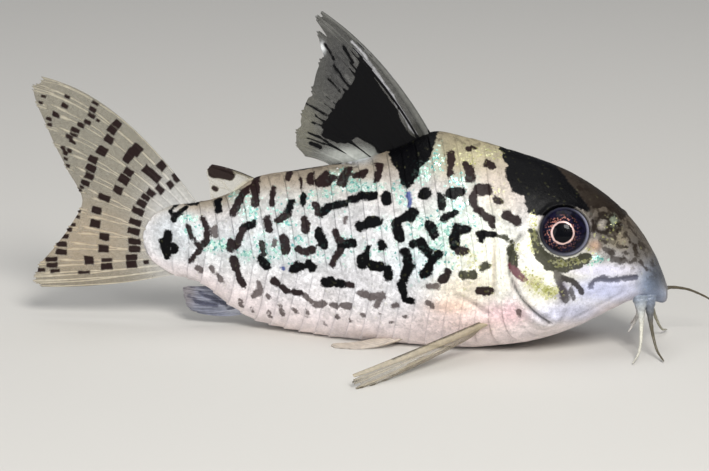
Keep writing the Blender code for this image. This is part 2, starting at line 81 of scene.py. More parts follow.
def ease(low: float, high: float, value: Array | float) -> Array:
    """Rise smoothly from 0 at low to 1 at high.

    Args:
        low: where the rise starts.
        high: where it ends; it may be below low.
        value: the places to read.

    Returns:
        Values from 0 to 1.
    """
    t = np.clip((np.asarray(value, float) - low) / (high - low), 0.0, 1.0)
    return t * t * (3 - 2 * t)


def unit(vectors: Array) -> Array:
    """Return the vectors with length 1."""
    size = np.linalg.norm(vectors, axis=-1, keepdims=True)
    return vectors / np.maximum(size, 1e-12)


def grain(points: Array, pitch: float, seed: int) -> Array:
    """Read a smooth random field, the same on each run.

    Args:
        points: places in millimetres, in the last axis.
        pitch: size of the field's lumps.
        seed: which field.

    Returns:
        Values from -1 to 1.
    """
    place = points / pitch + seed * 17.3
    cell = np.floor(place).astype(np.int64)
    part = place - cell
    part = part * part * (3 - 2 * part)
    total = np.zeros(points.shape[:-1])
    for corner in range(8):
        step = np.array([corner & 1, corner >> 1 & 1, corner >> 2 & 1])
        at = cell + step
        mixed = at[..., 0] * 374761393 + at[..., 1] * 668265263 + at[..., 2] * 1274126177
        mixed = (mixed ^ (mixed >> 13)) * 1103515245 & 0x7FFFFFFF
        value = (mixed >> 7) % 4096 / 2047.5 - 1
        total += value * np.prod(np.where(step, part, 1 - part), axis=-1)
    return total


class Profile:
    """A smooth curve through (place, value) pairs that never overshoots them."""

    def __init__(self, pairs: Sequence[Place]) -> None:
        """Keep the pairs and work out the slope at each.

        Args:
            pairs: places in rising order with their values.
        """
        self.places = np.array([p[0] for p in pairs], float)
        self.values = np.array([p[1] for p in pairs], float)
        steps = np.diff(self.values) / np.diff(self.places)
        before, after = steps[:-1], steps[1:]
        same = before * after > 0
        total = np.where(same, before + after, 1.0)
        inner = np.where(same, 2 * before * after / total, 0.0)
        self.slopes = np.concatenate([steps[:1], inner, steps[-1:]])

    def at(self, place: Array | float) -> Array:
        """Read the curve.

        Args:
            place: one place or an array of them; past the ends the end value holds.

        Returns:
            The values there.
        """
        place = np.clip(np.asarray(place, float), self.places[0], self.places[-1])
        i = np.clip(np.searchsorted(self.places, place, side="right") - 1, 0, len(self.places) - 2)
        span = self.places[i + 1] - self.places[i]
        t = (place - self.places[i]) / span
        start = (1 + 2 * t) * (1 - t) ** 2 * self.values[i] + t * (1 - t) ** 2 * span * self.slopes[i]
        end = t * t * (3 - 2 * t) * self.values[i + 1] - t * t * (1 - t) * span * self.slopes[i + 1]
        return start + end


def along(points: Sequence[Point], share: Array | float) -> Array:
    """Return points at a share of the way along a smooth curve.

    Args:
        points: the points that the curve runs through.
        share: from 0 at the first point to 1 at the last.

    Returns:
        The places, with one more axis than share has.
    """
    last = len(points) - 1
    axes = [Profile([(i / last, p[axis]) for i, p in enumerate(points)]) for axis in range(3)]
    return np.stack([axis.at(share) for axis in axes], axis=-1)


def distance_to_path(points: Array, path: Array) -> Array:
    """Return how far each point is from a path of straight runs.

    Args:
        points: N points.
        path: the path's corners, two or more, with as many axes as the points.

    Returns:
        N distances.
    """
    nearest = np.full(len(points), np.inf)
    for start, end in zip(path[:-1], path[1:]):
        run = end - start
        share = np.clip((points - start) @ run / max(run @ run, 1e-12), 0, 1)
        gap = np.linalg.norm(points - start - share[:, None] * run, axis=1)
        nearest = np.minimum(nearest, gap)
    return nearest


def distance_to_outline(places: Array, corners: Sequence[Place]) -> Array:
    """Return how far each place is from a closed outline, below 0 inside it.

    Args:
        places: N places on the drawing.
        corners: the outline's corners in order.

    Returns:
        N signed distances in drawing units.
    """
    ring = np.array([*corners, corners[0]], float)
    gap = distance_to_path(places, ring)
    inside = np.zeros(len(places), bool)
    for (x0, y0), (x1, y1) in zip(ring[:-1], ring[1:]):
        crosses = (y0 > places[:, 1]) != (y1 > places[:, 1])
        where = x0 + (places[:, 1] - y0) * (x1 - x0) / (y1 - y0 if y1 != y0 else 1e-9)
        inside ^= crosses & (places[:, 0] < where)
    return np.where(inside, -gap, gap)


def oval(middle: Place, reach: Place, corners: int = 12) -> tuple[Place, ...]:
    """Return places round an oval on the drawing, ending where they start.

    Args:
        middle: its middle.
        reach: half its width and height.
        corners: how many places.

    Returns:
        The places.
    """
    turns = [2 * math.pi * i / corners for i in range(corners + 1)]
    return tuple((middle[0] + reach[0] * math.cos(a), middle[1] + reach[1] * math.sin(a)) for a in turns)


@dataclass(frozen=True)
class SideDrawing:
    """The view of the right side that the camera has and the markings are placed on."""

    azimuth: float = 10.0
    elevation: float = 15.0
    distance: float = 300.0
    scale: float = 10.0
    origin: Place = (430.0, 336.0)
    size: Place = (709.0, 471.0)

    def axes(self) -> tuple[Array, Array, Array]:
        """Return the directions back to the eye, right and up."""
        a, e = math.radians(self.azimuth), math.radians(self.elevation)
        back = np.array([math.sin(a) * math.cos(e), -math.cos(a) * math.cos(e), math.sin(e)])
        right = np.array([math.cos(a), math.sin(a), 0.0])
        return back, right, np.cross(back, right)

    def target(self) -> Array:
        """Return the point at the middle of the drawing."""
        _, right, up = self.axes()
        across = (self.size[0] / 2 - self.origin[0]) / self.scale
        height = (self.origin[1] - self.size[1] / 2) / self.scale
        return right * across + up * height

    def eye(self) -> Array:
        """Return where the eye stands."""
        return self.target() + self.axes()[0] * self.distance

    def draw(self, points: Array) -> Array:
        """Return where points fall on the drawing.

        Args:
            points: places in millimetres, in the last axis.

        Returns:
            Drawing units, x to the right and y down.
        """
        back, right, up = self.axes()
        offset = points - self.eye()
        depth = -(offset @ back) / self.distance
        x = self.size[0] / 2 + offset @ right / depth * self.scale
        y = self.size[1] / 2 - offset @ up / depth * self.scale
        return np.stack([x, y], axis=-1)


DRAWING = SideDrawing()


class Sheet:
    """A grid of points in rows and columns, whose last column joins the first."""

    def __init__(self, points: Array) -> None:
        """Keep the grid.

        Args:
            points: rows by columns by 3, in millimetres.
        """
        self.points = points

    def folded(self) -> Array:
        """Return the grid with its left side laid over the right."""
        return np.concatenate(
            [self.points[..., :1], -np.abs(self.points[..., 1:2]), self.points[..., 2:]], axis=-1
        )

    def normals(self) -> Array:
        """Return the grid's normals, all on the same side of it."""
        down = np.gradient(self.points, axis=0)
        over = np.roll(self.points, -1, axis=1) - np.roll(self.points, 1, axis=1)
        return unit(np.cross(down, over))


class MeshParts:
    """Collects points, faces and values, and makes one mesh of them."""

    def __init__(self) -> None:
        """Start with nothing."""
        self.points: list[Array] = []
        self.faces: list[Array] = []
        self.maps: list[Array] = []
        self.count = 0

    def add_points(self, points: Array) -> Array:
        """Add points and return their numbers.

        Args:
            points: any grid of points in millimetres.

        Returns:
            The numbers in the same grid.
        """
        flat = points.reshape(-1, 3)
        numbers = np.arange(self.count, self.count + len(flat)).reshape(points.shape[:-1])
        self.points.append(flat)
        self.count += len(flat)
        return numbers

    def add_quads(self, numbers: Array, wraps: bool, window: Sequence[float], flip: bool = False) -> None:
        """Add the faces of a grid.

        Args:
            numbers: the grid of point numbers.
            wraps: whether the last column joins the first.
            window: left, bottom, right and top of its place on the flat map.
            flip: whether the faces look the other way.
        """
        rows, columns = numbers.shape
        across = columns if wraps else columns - 1
        grid_r, grid_c = np.meshgrid(np.arange(rows - 1), np.arange(across), indexing="ij")
        quads, flats = [], []
        for dr, dc in ((0, 0), (0, 1), (1, 1), (1, 0)):
            r, c = grid_r + dr, grid_c + dc
            quads.append(numbers[r, c % columns])
            u = window[0] + (window[2] - window[0]) * r / (rows - 1)
            v = window[1] + (window[3] - window[1]) * c / across
            flats.append(np.stack([u, v], axis=-1))
        order = [3, 2, 1, 0] if flip else [0, 1, 2, 3]
        self.faces.append(np.stack(quads, axis=-1).reshape(-1, 4)[:, order])
        self.maps.append(np.stack(flats, axis=-2).reshape(-1, 4, 2)[:, order])

    def add_fan(self, ring: Array, middle: int, flip: bool = False) -> None:
        """Close a ring of points with triangles to a point in its middle.

        Args:
            ring: the ring's point numbers.
            middle: the number of the point in the middle.
            flip: whether the faces look the other way.
        """
        triangles = np.stack([ring, np.roll(ring, -1), np.full(len(ring), middle)], axis=-1)
        order = [2, 1, 0] if flip else [0, 1, 2]
        self.faces.append(triangles[:, order])
        self.maps.append(np.zeros((len(ring), 3, 2)))

    def make(self, name: str, values: dict[str, Array]) -> bpy.types.Object:
        """Make the mesh object.

        Args:
            name: the piece's name.
            values: one number or one colour for each point, by name.

        Returns:
            The object, in the scene.
        """
        mesh = bpy.data.meshes.new(name)
        points = np.concatenate(self.points) * MM
        mesh.vertices.add(len(points))
        mesh.vertices.foreach_set("co", points.astype(np.float32).ravel())
        corners = np.concatenate([f.ravel() for f in self.faces])
        sizes = np.concatenate([np.full(len(f), f.shape[1]) for f in self.faces])
        mesh.loops.add(len(corners))
        mesh.loops.foreach_set("vertex_index", corners.astype(np.int32))
        mesh.polygons.add(len(sizes))
        starts = np.concatenate([[0], np.cumsum(sizes)[:-1]])
        mesh.polygons.foreach_set("loop_start", starts.astype(np.int32))
        mesh.update(calc_edges=True)
        flat = mesh.uv_layers.new(name="OFBake")
        flat.uv.foreach_set(
            "vector", np.concatenate([m.reshape(-1, 2) for m in self.maps]).astype(np.float32).ravel()
        )
        for key, value in values.items():
            if value.ndim == 1:
                layer = mesh.attributes.new(key, "FLOAT", "POINT")
                layer.data.foreach_set("value", value.astype(np.float32))
            else:
                layer = mesh.attributes.new(key, "FLOAT_COLOR", "POINT")
                full = np.concatenate([value, np.ones((len(value), 1))], axis=1)
                layer.data.foreach_set("color", full.astype(np.float32).ravel())
        mesh.validate()
        mesh.shade_smooth()
        made = bpy.data.objects.new(name, mesh)
        bpy.context.scene.collection.objects.link(made)
        return made


class Ink(Enum):
    """The colours of the marks, with how much of the ground each hides."""

    BLACK = ((4, 4, 6), 1.0)
    BROWN = ((28, 12, 14), 0.98)
    UMBER = ((30, 23, 18), 0.92)
    OLIVE = ((34, 34, 14), 0.94)
    SMOKE = ((44, 37, 32), 0.8)
    FAINT = ((66, 52, 50), 0.86)
    SLATE = ((54, 55, 76), 0.78)
    MAROON = ((92, 24, 48), 0.88)
    BLUE = ((44, 64, 132), 0.88)
    ASH = ((104, 104, 102), 0.7)
    PALE = ((186, 186, 190), 0.85)

    @property
    def colour(self) -> Array:
        """The ink's linear colour."""
        return linear(self.value[0])

    @property
    def cover(self) -> float:
        """How much of the ground it hides."""
        return self.value[1]


@dataclass(frozen=True)
class Marks:
    """Strokes of one ink. Each is its half width and then the places it runs through."""

    ink: Ink
    strokes: tuple[tuple, ...]


@dataclass(frozen=True)
class Patch:
    """A region of one ink with a ragged edge, drawn by its outline."""

    ink: Ink
    outline: tuple[Place, ...]
    ragged: float = 2.0


@dataclass(frozen=True)
class Wash:
    """A soft oval of colour: its middle, its reach, its colour and its strength."""

    middle: Place
    reach: Place
    colour: Colour
    strength: float


@dataclass(frozen=True)
class Crease:
    """A raised line or a groove: its path, half width, and height, below 0 for a groove."""

    path: tuple[Place, ...]
    half_width: float
    height: float


class Paint:
    """The colour, glitter and marks of one piece, point by point."""

    UNMARKED = 3.0

    # How far strokes wander and how much they swell, over what pitch, and the random field
    BENDS = ((0.24, 1.3, 40), (0.13, 0.55, 50))
    SWELL = (0.09, 0.8, 61)

    def __init__(self, points: Array, near: Array) -> None:
        """Start on bare ground.

        Args:
            points: N points, the left side laid over the right.
            near: which of them the side drawing shows.
        """
        self.points = points
        self.drawn = DRAWING.draw(points)
        self.near = np.flatnonzero(near)
        self.bent = points.copy()
        for axis in range(3):
            for far, pitch, seed in self.BENDS:
                self.bent[:, axis] += far * grain(points, pitch, seed + axis)
        far, pitch, seed = self.SWELL
        self.swell = far * grain(points, pitch, seed)
        self.colour = np.ones((len(points), 3))
        self.mark = np.full(len(points), self.UNMARKED)
        self.mark_colour = np.zeros((len(points), 3))
        self.mark_cover = np.zeros(len(points))

    def lift(self, places: Sequence[Place]) -> Array:
        """Return the points of the piece that the drawing's places show.

        Args:
            places: places on the drawing.

        Returns:
            One point for each.
        """
        drawn = self.drawn[self.near]
        found = [np.argmin(((drawn - place) ** 2).sum(axis=1)) for place in np.asarray(places, float)]
        return self.points[self.near[found]]

    def wash(self, washes: Sequence[Wash]) -> None:
        """Lay soft ovals of colour on the ground."""
        for wash in washes:
            offset = (self.drawn - wash.middle) / wash.reach
            share = wash.strength * np.exp(-((offset**2).sum(axis=1) ** 1.4))
            self.colour += share[:, None] * (linear(wash.colour) - self.colour)

    def density(self, ovals: Sequence[tuple[float, float, float, float, float]]) -> Array:
        """Return how strongly ovals on the drawing cover each point.

        Args:
            ovals: middle x and y, reach across and down, and strength.

        Returns:
            N values, highest 1.
        """
        total = np.zeros(len(self.points))
        for x, y, across, down, strength in ovals:
            offset = (self.drawn - (x, y)) / (across, down)
            total = np.maximum(total, strength * np.exp(-((offset**2).sum(axis=1) ** 1.3)))
        return total

    def set_marks(self, gap: Array, where: Array, ink: Ink) -> None:
        """Keep the nearest mark at each point.

        Args:
            gap: distance from the mark's edge, below 0 inside it.
            where: the numbers of the points it is for.
            ink: the mark's ink.
        """
        nearer = gap < self.mark[where]
        chosen = where[nearer]
        self.mark[chosen] = gap[nearer]
        self.mark_colour[chosen] = ink.colour
        self.mark_cover[chosen] = ink.cover

    def stroke(self, path: Array, half_width: float, ink: Ink, among: Array) -> None:
        """Lay one stroke along a path on the piece.

        Args:
            path: the stroke's corners in millimetres.
            half_width: half its width in millimetres.
            ink: its ink.
            among: which points it may mark.
        """
        reach = half_width + 1.0
        low, high = path.min(axis=0) - reach, path.max(axis=0) + reach
        where = np.flatnonzero(among & np.all((self.points > low) & (self.points < high), axis=1))
        if len(where):
            gap = distance_to_path(self.bent[where], path) - half_width
            self.set_marks(gap - self.swell[where], where, ink)

    def steady(self, share: float) -> None:
        """Make later strokes wander and swell less.

        Args:
            share: how much of the wandering is left, from 0 to 1.
        """
        self.bent = self.points + (self.bent - self.points) * share
        self.swell = self.swell * share

    def marks(self, groups: Sequence[Marks], among: Array, seed: int | None = None) -> None:
        """Lay groups of strokes, moved a little at random when there is a seed.

        Args:
            groups: the strokes by ink.
            among: which points they may mark.
            seed: for the other side of the fish, whose marks aren't quite alike.
        """
        chance = np.random.default_rng(seed)
        for group in groups:
            for half_width, *places in group.strokes:
                places = np.array(places, float)
                if seed is not None:
                    places = places + chance.normal(0, 3.5, 2) + chance.normal(0, 1.5, places.shape)
                    half_width *= chance.uniform(0.8, 1.15)
                self.stroke(self.lift(places), half_width / DRAWING.scale, group.ink, among)

    def patch(
        self, patches: Sequence[Patch], among: Array, seed: int = 5, reach: Array | float = 0.0
    ) -> None:
        """Lay ragged patches.

        Args:
            patches: the patches.
            among: which points they may mark.
            seed: which random edge they have.
            reach: how much further they reach at each point, in shares of the ragged edge.
        """
        rough = grain(self.points, 0.9, seed) + 0.6 * grain(self.points, 0.4, seed + 1) - reach
        where = np.flatnonzero(among)
        for patch in patches:
            gap = distance_to_outline(self.drawn[where], patch.outline)
            gap = (gap + patch.ragged * rough[where]) / DRAWING.scale
            self.set_marks(np.maximum(gap, -0.6), where, patch.ink)

    def values(self) -> dict[str, Array]:
        """Return what the mesh carries for the finish to read."""
        return {
            "ground": np.clip(self.colour, 0, 1),
            "mark": self.mark,
            "mark_colour": self.mark_colour,
            "mark_cover": self.mark_cover,
        }


class Wiring:
    """Makes and joins the nodes of one material."""

    def __init__(self, name: str) -> None:
        """Start a material with a Principled shader.

        Args:
            name: the material's name.
        """
        self.material = bpy.data.materials.new(name)
        self.material.use_nodes = True
        self.tree = self.material.node_tree
        self.shader = self.tree.nodes["Principled BSDF"]
        self.place = self.node("ShaderNodeTexCoord").outputs["Object"]

    def set(self, target: bpy.types.Node, sockets: dict[Any, Any]) -> None:
        """Set or link a node's sockets.

        Args:
            target: the node.
            sockets: a value or another node's output for each socket.
        """
        for key, value in sockets.items():
            if isinstance(value, bpy.types.NodeSocket):
                self.tree.links.new(value, target.inputs[key])
            else:
                target.inputs[key].default_value = value

    def node(self, kind: str, sockets: dict[Any, Any] | None = None, **settings: Any) -> bpy.types.Node:
        """Add a node.

        Args:
            kind: the node's type.
            sockets: its inputs' values and links.
            settings: its own settings.

        Returns:
            The node.
        """
        made = self.tree.nodes.new(kind)
        for key, value in settings.items():
            setattr(made, key, value)
        self.set(made, sockets or {})
        return made

    def math(self, operation: str, *values: Any) -> bpy.types.NodeSocket:
        """Add a sum on one or more values and return its result."""
        made = self.node("ShaderNodeMath", dict(enumerate(values)), operation=operation)
        return made.outputs[0]

    def rise(self, value: Any, low: float, high: float, start: float = 0.0, end: float = 1.0) -> Any:
        """Map a value smoothly.

        Args:
            value: what is read.
            low: where the rise starts.
            high: where it ends.
            start: the result at low.
            end: the result at high.

        Returns:
            The result's socket.
        """
        sockets = {"Value": value, 1: low, 2: high, 3: start, 4: end}
        return self.node("ShaderNodeMapRange", sockets, interpolation_type="SMOOTHSTEP").outputs[0]

    def blend(self, share: Any, first: Any, second: Any, way: str = "MIX") -> bpy.types.NodeSocket:
        """Mix two colours.

        Args:
            share: how much of the second.
            first: the first colour.
            second: the second colour.
            way: how they mix.

        Returns:
            The colour's socket.
        """
        sockets = {0: share, 6: first, 7: second}
        made = self.node("ShaderNodeMix", sockets, data_type="RGBA", blend_type=way)
        return made.outputs[2]

    def noise(self, lumps: float, detail: float = 2.0) -> bpy.types.NodeSocket:
        """Return a random value from 0 to 1, with lumps of this many millimetres."""
        sockets = {"Vector": self.place, "Scale": 1 / (lumps * MM), "Detail": detail}
        return self.node("ShaderNodeTexNoise", sockets).outputs["Fac"]

    def cells(self, size: float) -> bpy.types.Node:
        """Return a pattern of cells of this many millimetres."""
        return self.node("ShaderNodeTexVoronoi", {"Vector": self.place, "Scale": 1 / (size * MM)})

    def read(self, name: str, output: str = "Fac") -> bpy.types.NodeSocket:
        """Return a value or colour that the mesh carries."""
        return self.node("ShaderNodeAttribute", attribute_name=name).outputs[output]

    def bump(self, height: Any, depth: float) -> bpy.types.NodeSocket:
        """Return a normal roughened by a height.

        Args:
            height: the height, 0 to 1.
            depth: what 1 means, in millimetres.

        Returns:
            The normal's socket.
        """
        sockets = {"Height": height, "Distance": depth * MM, "Strength": 1.0}
        return self.node("ShaderNodeBump", sockets).outputs["Normal"]

    def marked(self, ground: Any, rough: float) -> tuple[Any, Any]:
        """Lay the mesh's marks over a ground colour.

        Args:
            ground: the ground colour.
            rough: how far the marks' edges wander, in millimetres.

        Returns:
            The colour and how much of the ground is hidden.
        """
        wander = self.math("SUBTRACT", self.noise(0.55, 2.0), 0.5)
        edge = self.math("MULTIPLY_ADD", wander, rough * 10, self.read("mark"))
        wander = self.math("SUBTRACT", self.noise(0.17, 3.0), 0.5)
        edge = self.math("MULTIPLY_ADD", wander, rough * 6, edge)
        inside = self.rise(edge, 0.13, -0.07)
        cover = self.math("MULTIPLY", inside, self.read("mark_cover"))
        return self.blend(cover, ground, self.read("mark_colour", "Color")), cover


@dataclass(frozen=True)
class SkinFinish:
    """Silvery skin with a wet sheen, glitter partly painted as bright glints, fine pigment and the body's
    marks.
    """

    roughness: float = 0.42
    coat: float = 0.05
    coat_roughness: float = 0.25
    flake: float = 0.24
    relief: float = 0.035
    freckle_colour: Colour = (46, 38, 30)
    cloud_colour: Colour = (44, 37, 30)
    gold_colours: tuple[Colour, Colour] = ((158, 160, 60), (246, 246, 196))

    def make(self) -> bpy.types.Material:
        """Return the material."""
        w = Wiring("skin")
        ground = w.read("ground", "Color")
        mottle = w.rise(w.noise(0.9, 4.0), 0.3, 0.7, 0.84, 1.08)
        fine = w.rise(w.noise(0.16, 2.0), 0.25, 0.75, 0.91, 1.08)
        scales = self.channel(w, w.cells(0.26).outputs["Color"], 1)
        shine = w.math("MULTIPLY_ADD", w.math("SUBTRACT", scales, 0.45), w.read("silver"), 1.0)
        tone = w.math("MULTIPLY", w.math("MULTIPLY", mottle, fine), shine)
        ground = w.blend(1.0, ground, self.grey(w, tone), "MULTIPLY")
        dots = w.cells(0.19)
        keep = w.math("GREATER_THAN", self.channel(w, dots.outputs["Color"], 0), 0.45)
        dot = w.math("MULTIPLY", w.rise(dots.outputs["Distance"], 0.34, 0.16), keep)
        dot = w.math("MULTIPLY", dot, w.read("freckles"))
        ground = w.blend(dot, ground, opaque(self.freckle_colour))
        cloud = w.math("MULTIPLY", w.rise(w.noise(0.75, 4.0), 0.5, 0.6), w.read("clouds"))
        ground = w.blend(cloud, ground, opaque(self.cloud_colour))
        colour, cover = w.marked(ground, 0.05)
        # Glitter: teal to white flakes laid into the base colour are painted glints, partly the scales' own
        # glitter, which also gets metal and less roughness below
        flakes = w.cells(self.flake)
        chance = self.channel(w, flakes.outputs["Color"], 1)
        lit = w.rise(w.math("ADD", chance, w.read("glitter")), 0.98, 1.12)
        lit = w.math("MULTIPLY", lit, w.rise(cover, 0.2, 0.9, 1.0, 0.03))
        hue = self.flake_colour(w, self.channel(w, flakes.outputs["Color"], 2))
        colour = w.blend(w.math("MULTIPLY", lit, 0.85), colour, hue)
        # Gold glitter: olive-gold to near-white flakes in the base colour, painted glints that are partly
        # the scales' own gold glitter
        gold_chance = self.channel(w, w.cells(self.flake * 0.9).outputs["Color"], 0)
        gold = w.rise(w.math("ADD", gold_chance, w.read("gold")), 0.95, 1.15)
        gold = w.math("MULTIPLY", gold, w.rise(cover, 0.4, 0.95, 1.0, 0.3))
        hue = w.blend(chance, *map(opaque, self.gold_colours))
        colour = w.blend(w.math("MULTIPLY", gold, 0.8), colour, hue)
        rough = w.rise(w.noise(0.3, 2.0), 0.3, 0.7, self.roughness - 0.07, self.roughness + 0.07)
        rough = w.math("SUBTRACT", rough, w.math("MULTIPLY", w.math("MAXIMUM", lit, gold), 0.16))
        metal = w.math("MULTIPLY", w.math("MAXIMUM", lit, gold), 0.45)
        lumps = w.math("ADD", w.noise(0.12, 3.0), w.math("MULTIPLY", w.cells(0.3).outputs["Distance"], 0.5))
        w.set(
            w.shader,
            {
                "Base Color": colour,
                "Roughness": rough,
                "Metallic": metal,
                "IOR": 1.33,
                "Specular IOR Level": 0.15,
                "Coat Weight": self.coat,
                "Coat Roughness": self.coat_roughness,
                "Coat IOR": 1.33,
                "Normal": w.bump(lumps, self.relief),
            },
        )
        return w.material

    @staticmethod
    def grey(w: Wiring, value: Any) -> bpy.types.NodeSocket:
        """Return a grey of this value."""
        sockets = {"Red": value, "Green": value, "Blue": value}
        return w.node("ShaderNodeCombineColor", sockets).outputs[0]

    @staticmethod
    def channel(w: Wiring, colour: Any, number: int) -> bpy.types.NodeSocket:
        """Return red, green or blue of a colour."""
        return w.node("ShaderNodeSeparateColor", {0: colour}).outputs[number]

    @staticmethod
    def flake_colour(w: Wiring, chance: Any) -> bpy.types.NodeSocket:
        """Return a glitter colour, from teal through pale green to the white of a painted glint."""
        ramp = w.node("ShaderNodeValToRGB", {0: chance})
        stops = (
            (0.0, (60, 150, 150)), (0.35, (110, 205, 185)), (0.65, (185, 235, 215)), (0.9, (240, 250, 245)),
        )
        elements = ramp.color_ramp.elements
        marks = [elements[0], elements[1], elements.new(0.5), elements.new(0.6)]
        for (position, colour), element in zip(stops, marks):
            element.position = position
            element.color = opaque(colour)
        return ramp.outputs[0]


@dataclass(frozen=True)
class FinFinish:
    """A clear membrane and its rays, with the fin's marks."""

    name: str
    roughness: float = 0.45
    coat: float = 0.06
    coat_roughness: float = 0.25

    def make(self) -> bpy.types.Material:
        """Return the material."""
        w = Wiring(self.name)
        tone = w.rise(w.noise(0.5, 4.0), 0.3, 0.7, 0.88, 1.08)
        ground = w.blend(1.0, w.read("ground", "Color"), SkinFinish.grey(w, tone), "MULTIPLY")
        colour, cover = w.marked(ground, 0.02)
        film = w.math("MULTIPLY", w.read("film"), w.rise(w.noise(0.35, 3.0), 0.3, 0.7, 0.93, 1.06))
        solid = w.math("MAXIMUM", film, cover)
        w.set(
            w.shader,
            {
                "Base Color": colour,
                "Alpha": w.math("MINIMUM", solid, 1.0),
                "Roughness": self.roughness,
                "Coat Weight": self.coat,
                "Coat Roughness": self.coat_roughness,
                "IOR": 1.33,
                "Specular IOR Level": 0.2,
                "Normal": w.bump(w.noise(0.09, 2.0), 0.008),
            },
        )
        return w.material


@dataclass(frozen=True)
class EyeFinish:
    """A dark iris with rosy flecks round a bright ring, under a clear wet cornea."""

    pupil: float = 0.95
    ring: float = 1.08
    flecks: float = 1.95
    pupil_colour: Colour = (3, 4, 9)
    ring_colour: Colour = (222, 190, 184)
    fleck_colour: Colour = (178, 120, 108)
    iris_colours: tuple[Colour, Colour] = ((4, 4, 12), (17, 15, 38))
    rim_colour: Colour = (166, 168, 190)

    def make(self) -> bpy.types.Material:
        """Return the material."""
        w = Wiring("eye")
        wander = w.math("MULTIPLY", w.math("SUBTRACT", w.noise(0.35, 2.0), 0.5), 0.12)
        iris = w.math("ADD", w.read("iris"), wander)
        navy = w.blend(w.rise(w.noise(0.5, 3.0), 0.35, 0.65), *map(opaque, self.iris_colours))
        rim = w.read("rim")
        lower = w.rise(w.read("high"), 1.9, -1.4, 0.12, 0.85)
        pale = w.math("MULTIPLY", w.rise(rim, 2.04, 2.36), lower)
        colour = w.blend(pale, navy, opaque(self.rim_colour))
        cell = w.cells(0.2)
        dot = w.rise(cell.outputs["Distance"], 0.5, 0.28)
        fleck = w.math("MULTIPLY", dot, w.rise(iris, self.flecks, 1.3))
        above = w.rise(w.read("high"), -0.9, 0.7, 0.25, 1.0)
        fleck = w.math("MULTIPLY", w.math("MULTIPLY", fleck, above), w.rise(w.noise(0.3), 0.32, 0.44))
        colour = w.blend(fleck, colour, opaque(self.fleck_colour))
        inner = w.rise(iris, self.pupil - 0.03, self.pupil + 0.06)
        glow = w.math("MULTIPLY", inner, w.rise(iris, self.ring + 0.1, self.ring))
        colour = w.blend(glow, colour, opaque(self.ring_colour))
        core = w.rise(iris, self.pupil + 0.05, self.pupil - 0.03)
        colour = w.blend(core, colour, opaque(self.pupil_colour))
        w.set(
            w.shader,
            {
                "Base Color": colour,
                "Roughness": 0.4,
                "Specular IOR Level": 0.05,
                "Metallic": w.math("MULTIPLY", w.math("MAXIMUM", glow, fleck), 0.4),
                "Coat Weight": 0.3,
                "Coat Roughness": 0.03,
                "Coat IOR": 1.38,
            },
        )
        return w.material


@dataclass(frozen=True)
class BarbelFinish:
    """Soft fleshy skin of the feelers."""

    def make(self) -> bpy.types.Material:
        """Return the material."""
        w = Wiring("barbel")
        tone = w.rise(w.noise(0.3, 4.0), 0.3, 0.7, 0.75, 1.12)
        colour = w.blend(1.0, w.read("ground", "Color"), SkinFinish.grey(w, tone), "MULTIPLY")
        w.set(
            w.shader,
            {
                "Base Color": colour,
                "Roughness": w.rise(w.noise(0.2), 0.3, 0.7, 0.38, 0.52),
                "Coat Weight": 0.25,
                "Coat Roughness": 0.18,
                "Normal": w.bump(w.noise(0.1, 2.0), 0.03),
            },
        )
        return w.material


@dataclass(frozen=True)
class FloorFinish:
    """Plain pale matt floor."""

    colour: Colour = (206, 204, 199)

    def make(self) -> bpy.types.Material:
        """Return the material."""
        w = Wiring("floor")
        w.set(w.shader, {"Base Color": opaque(self.colour), "Roughness": 0.85})
        return w.material


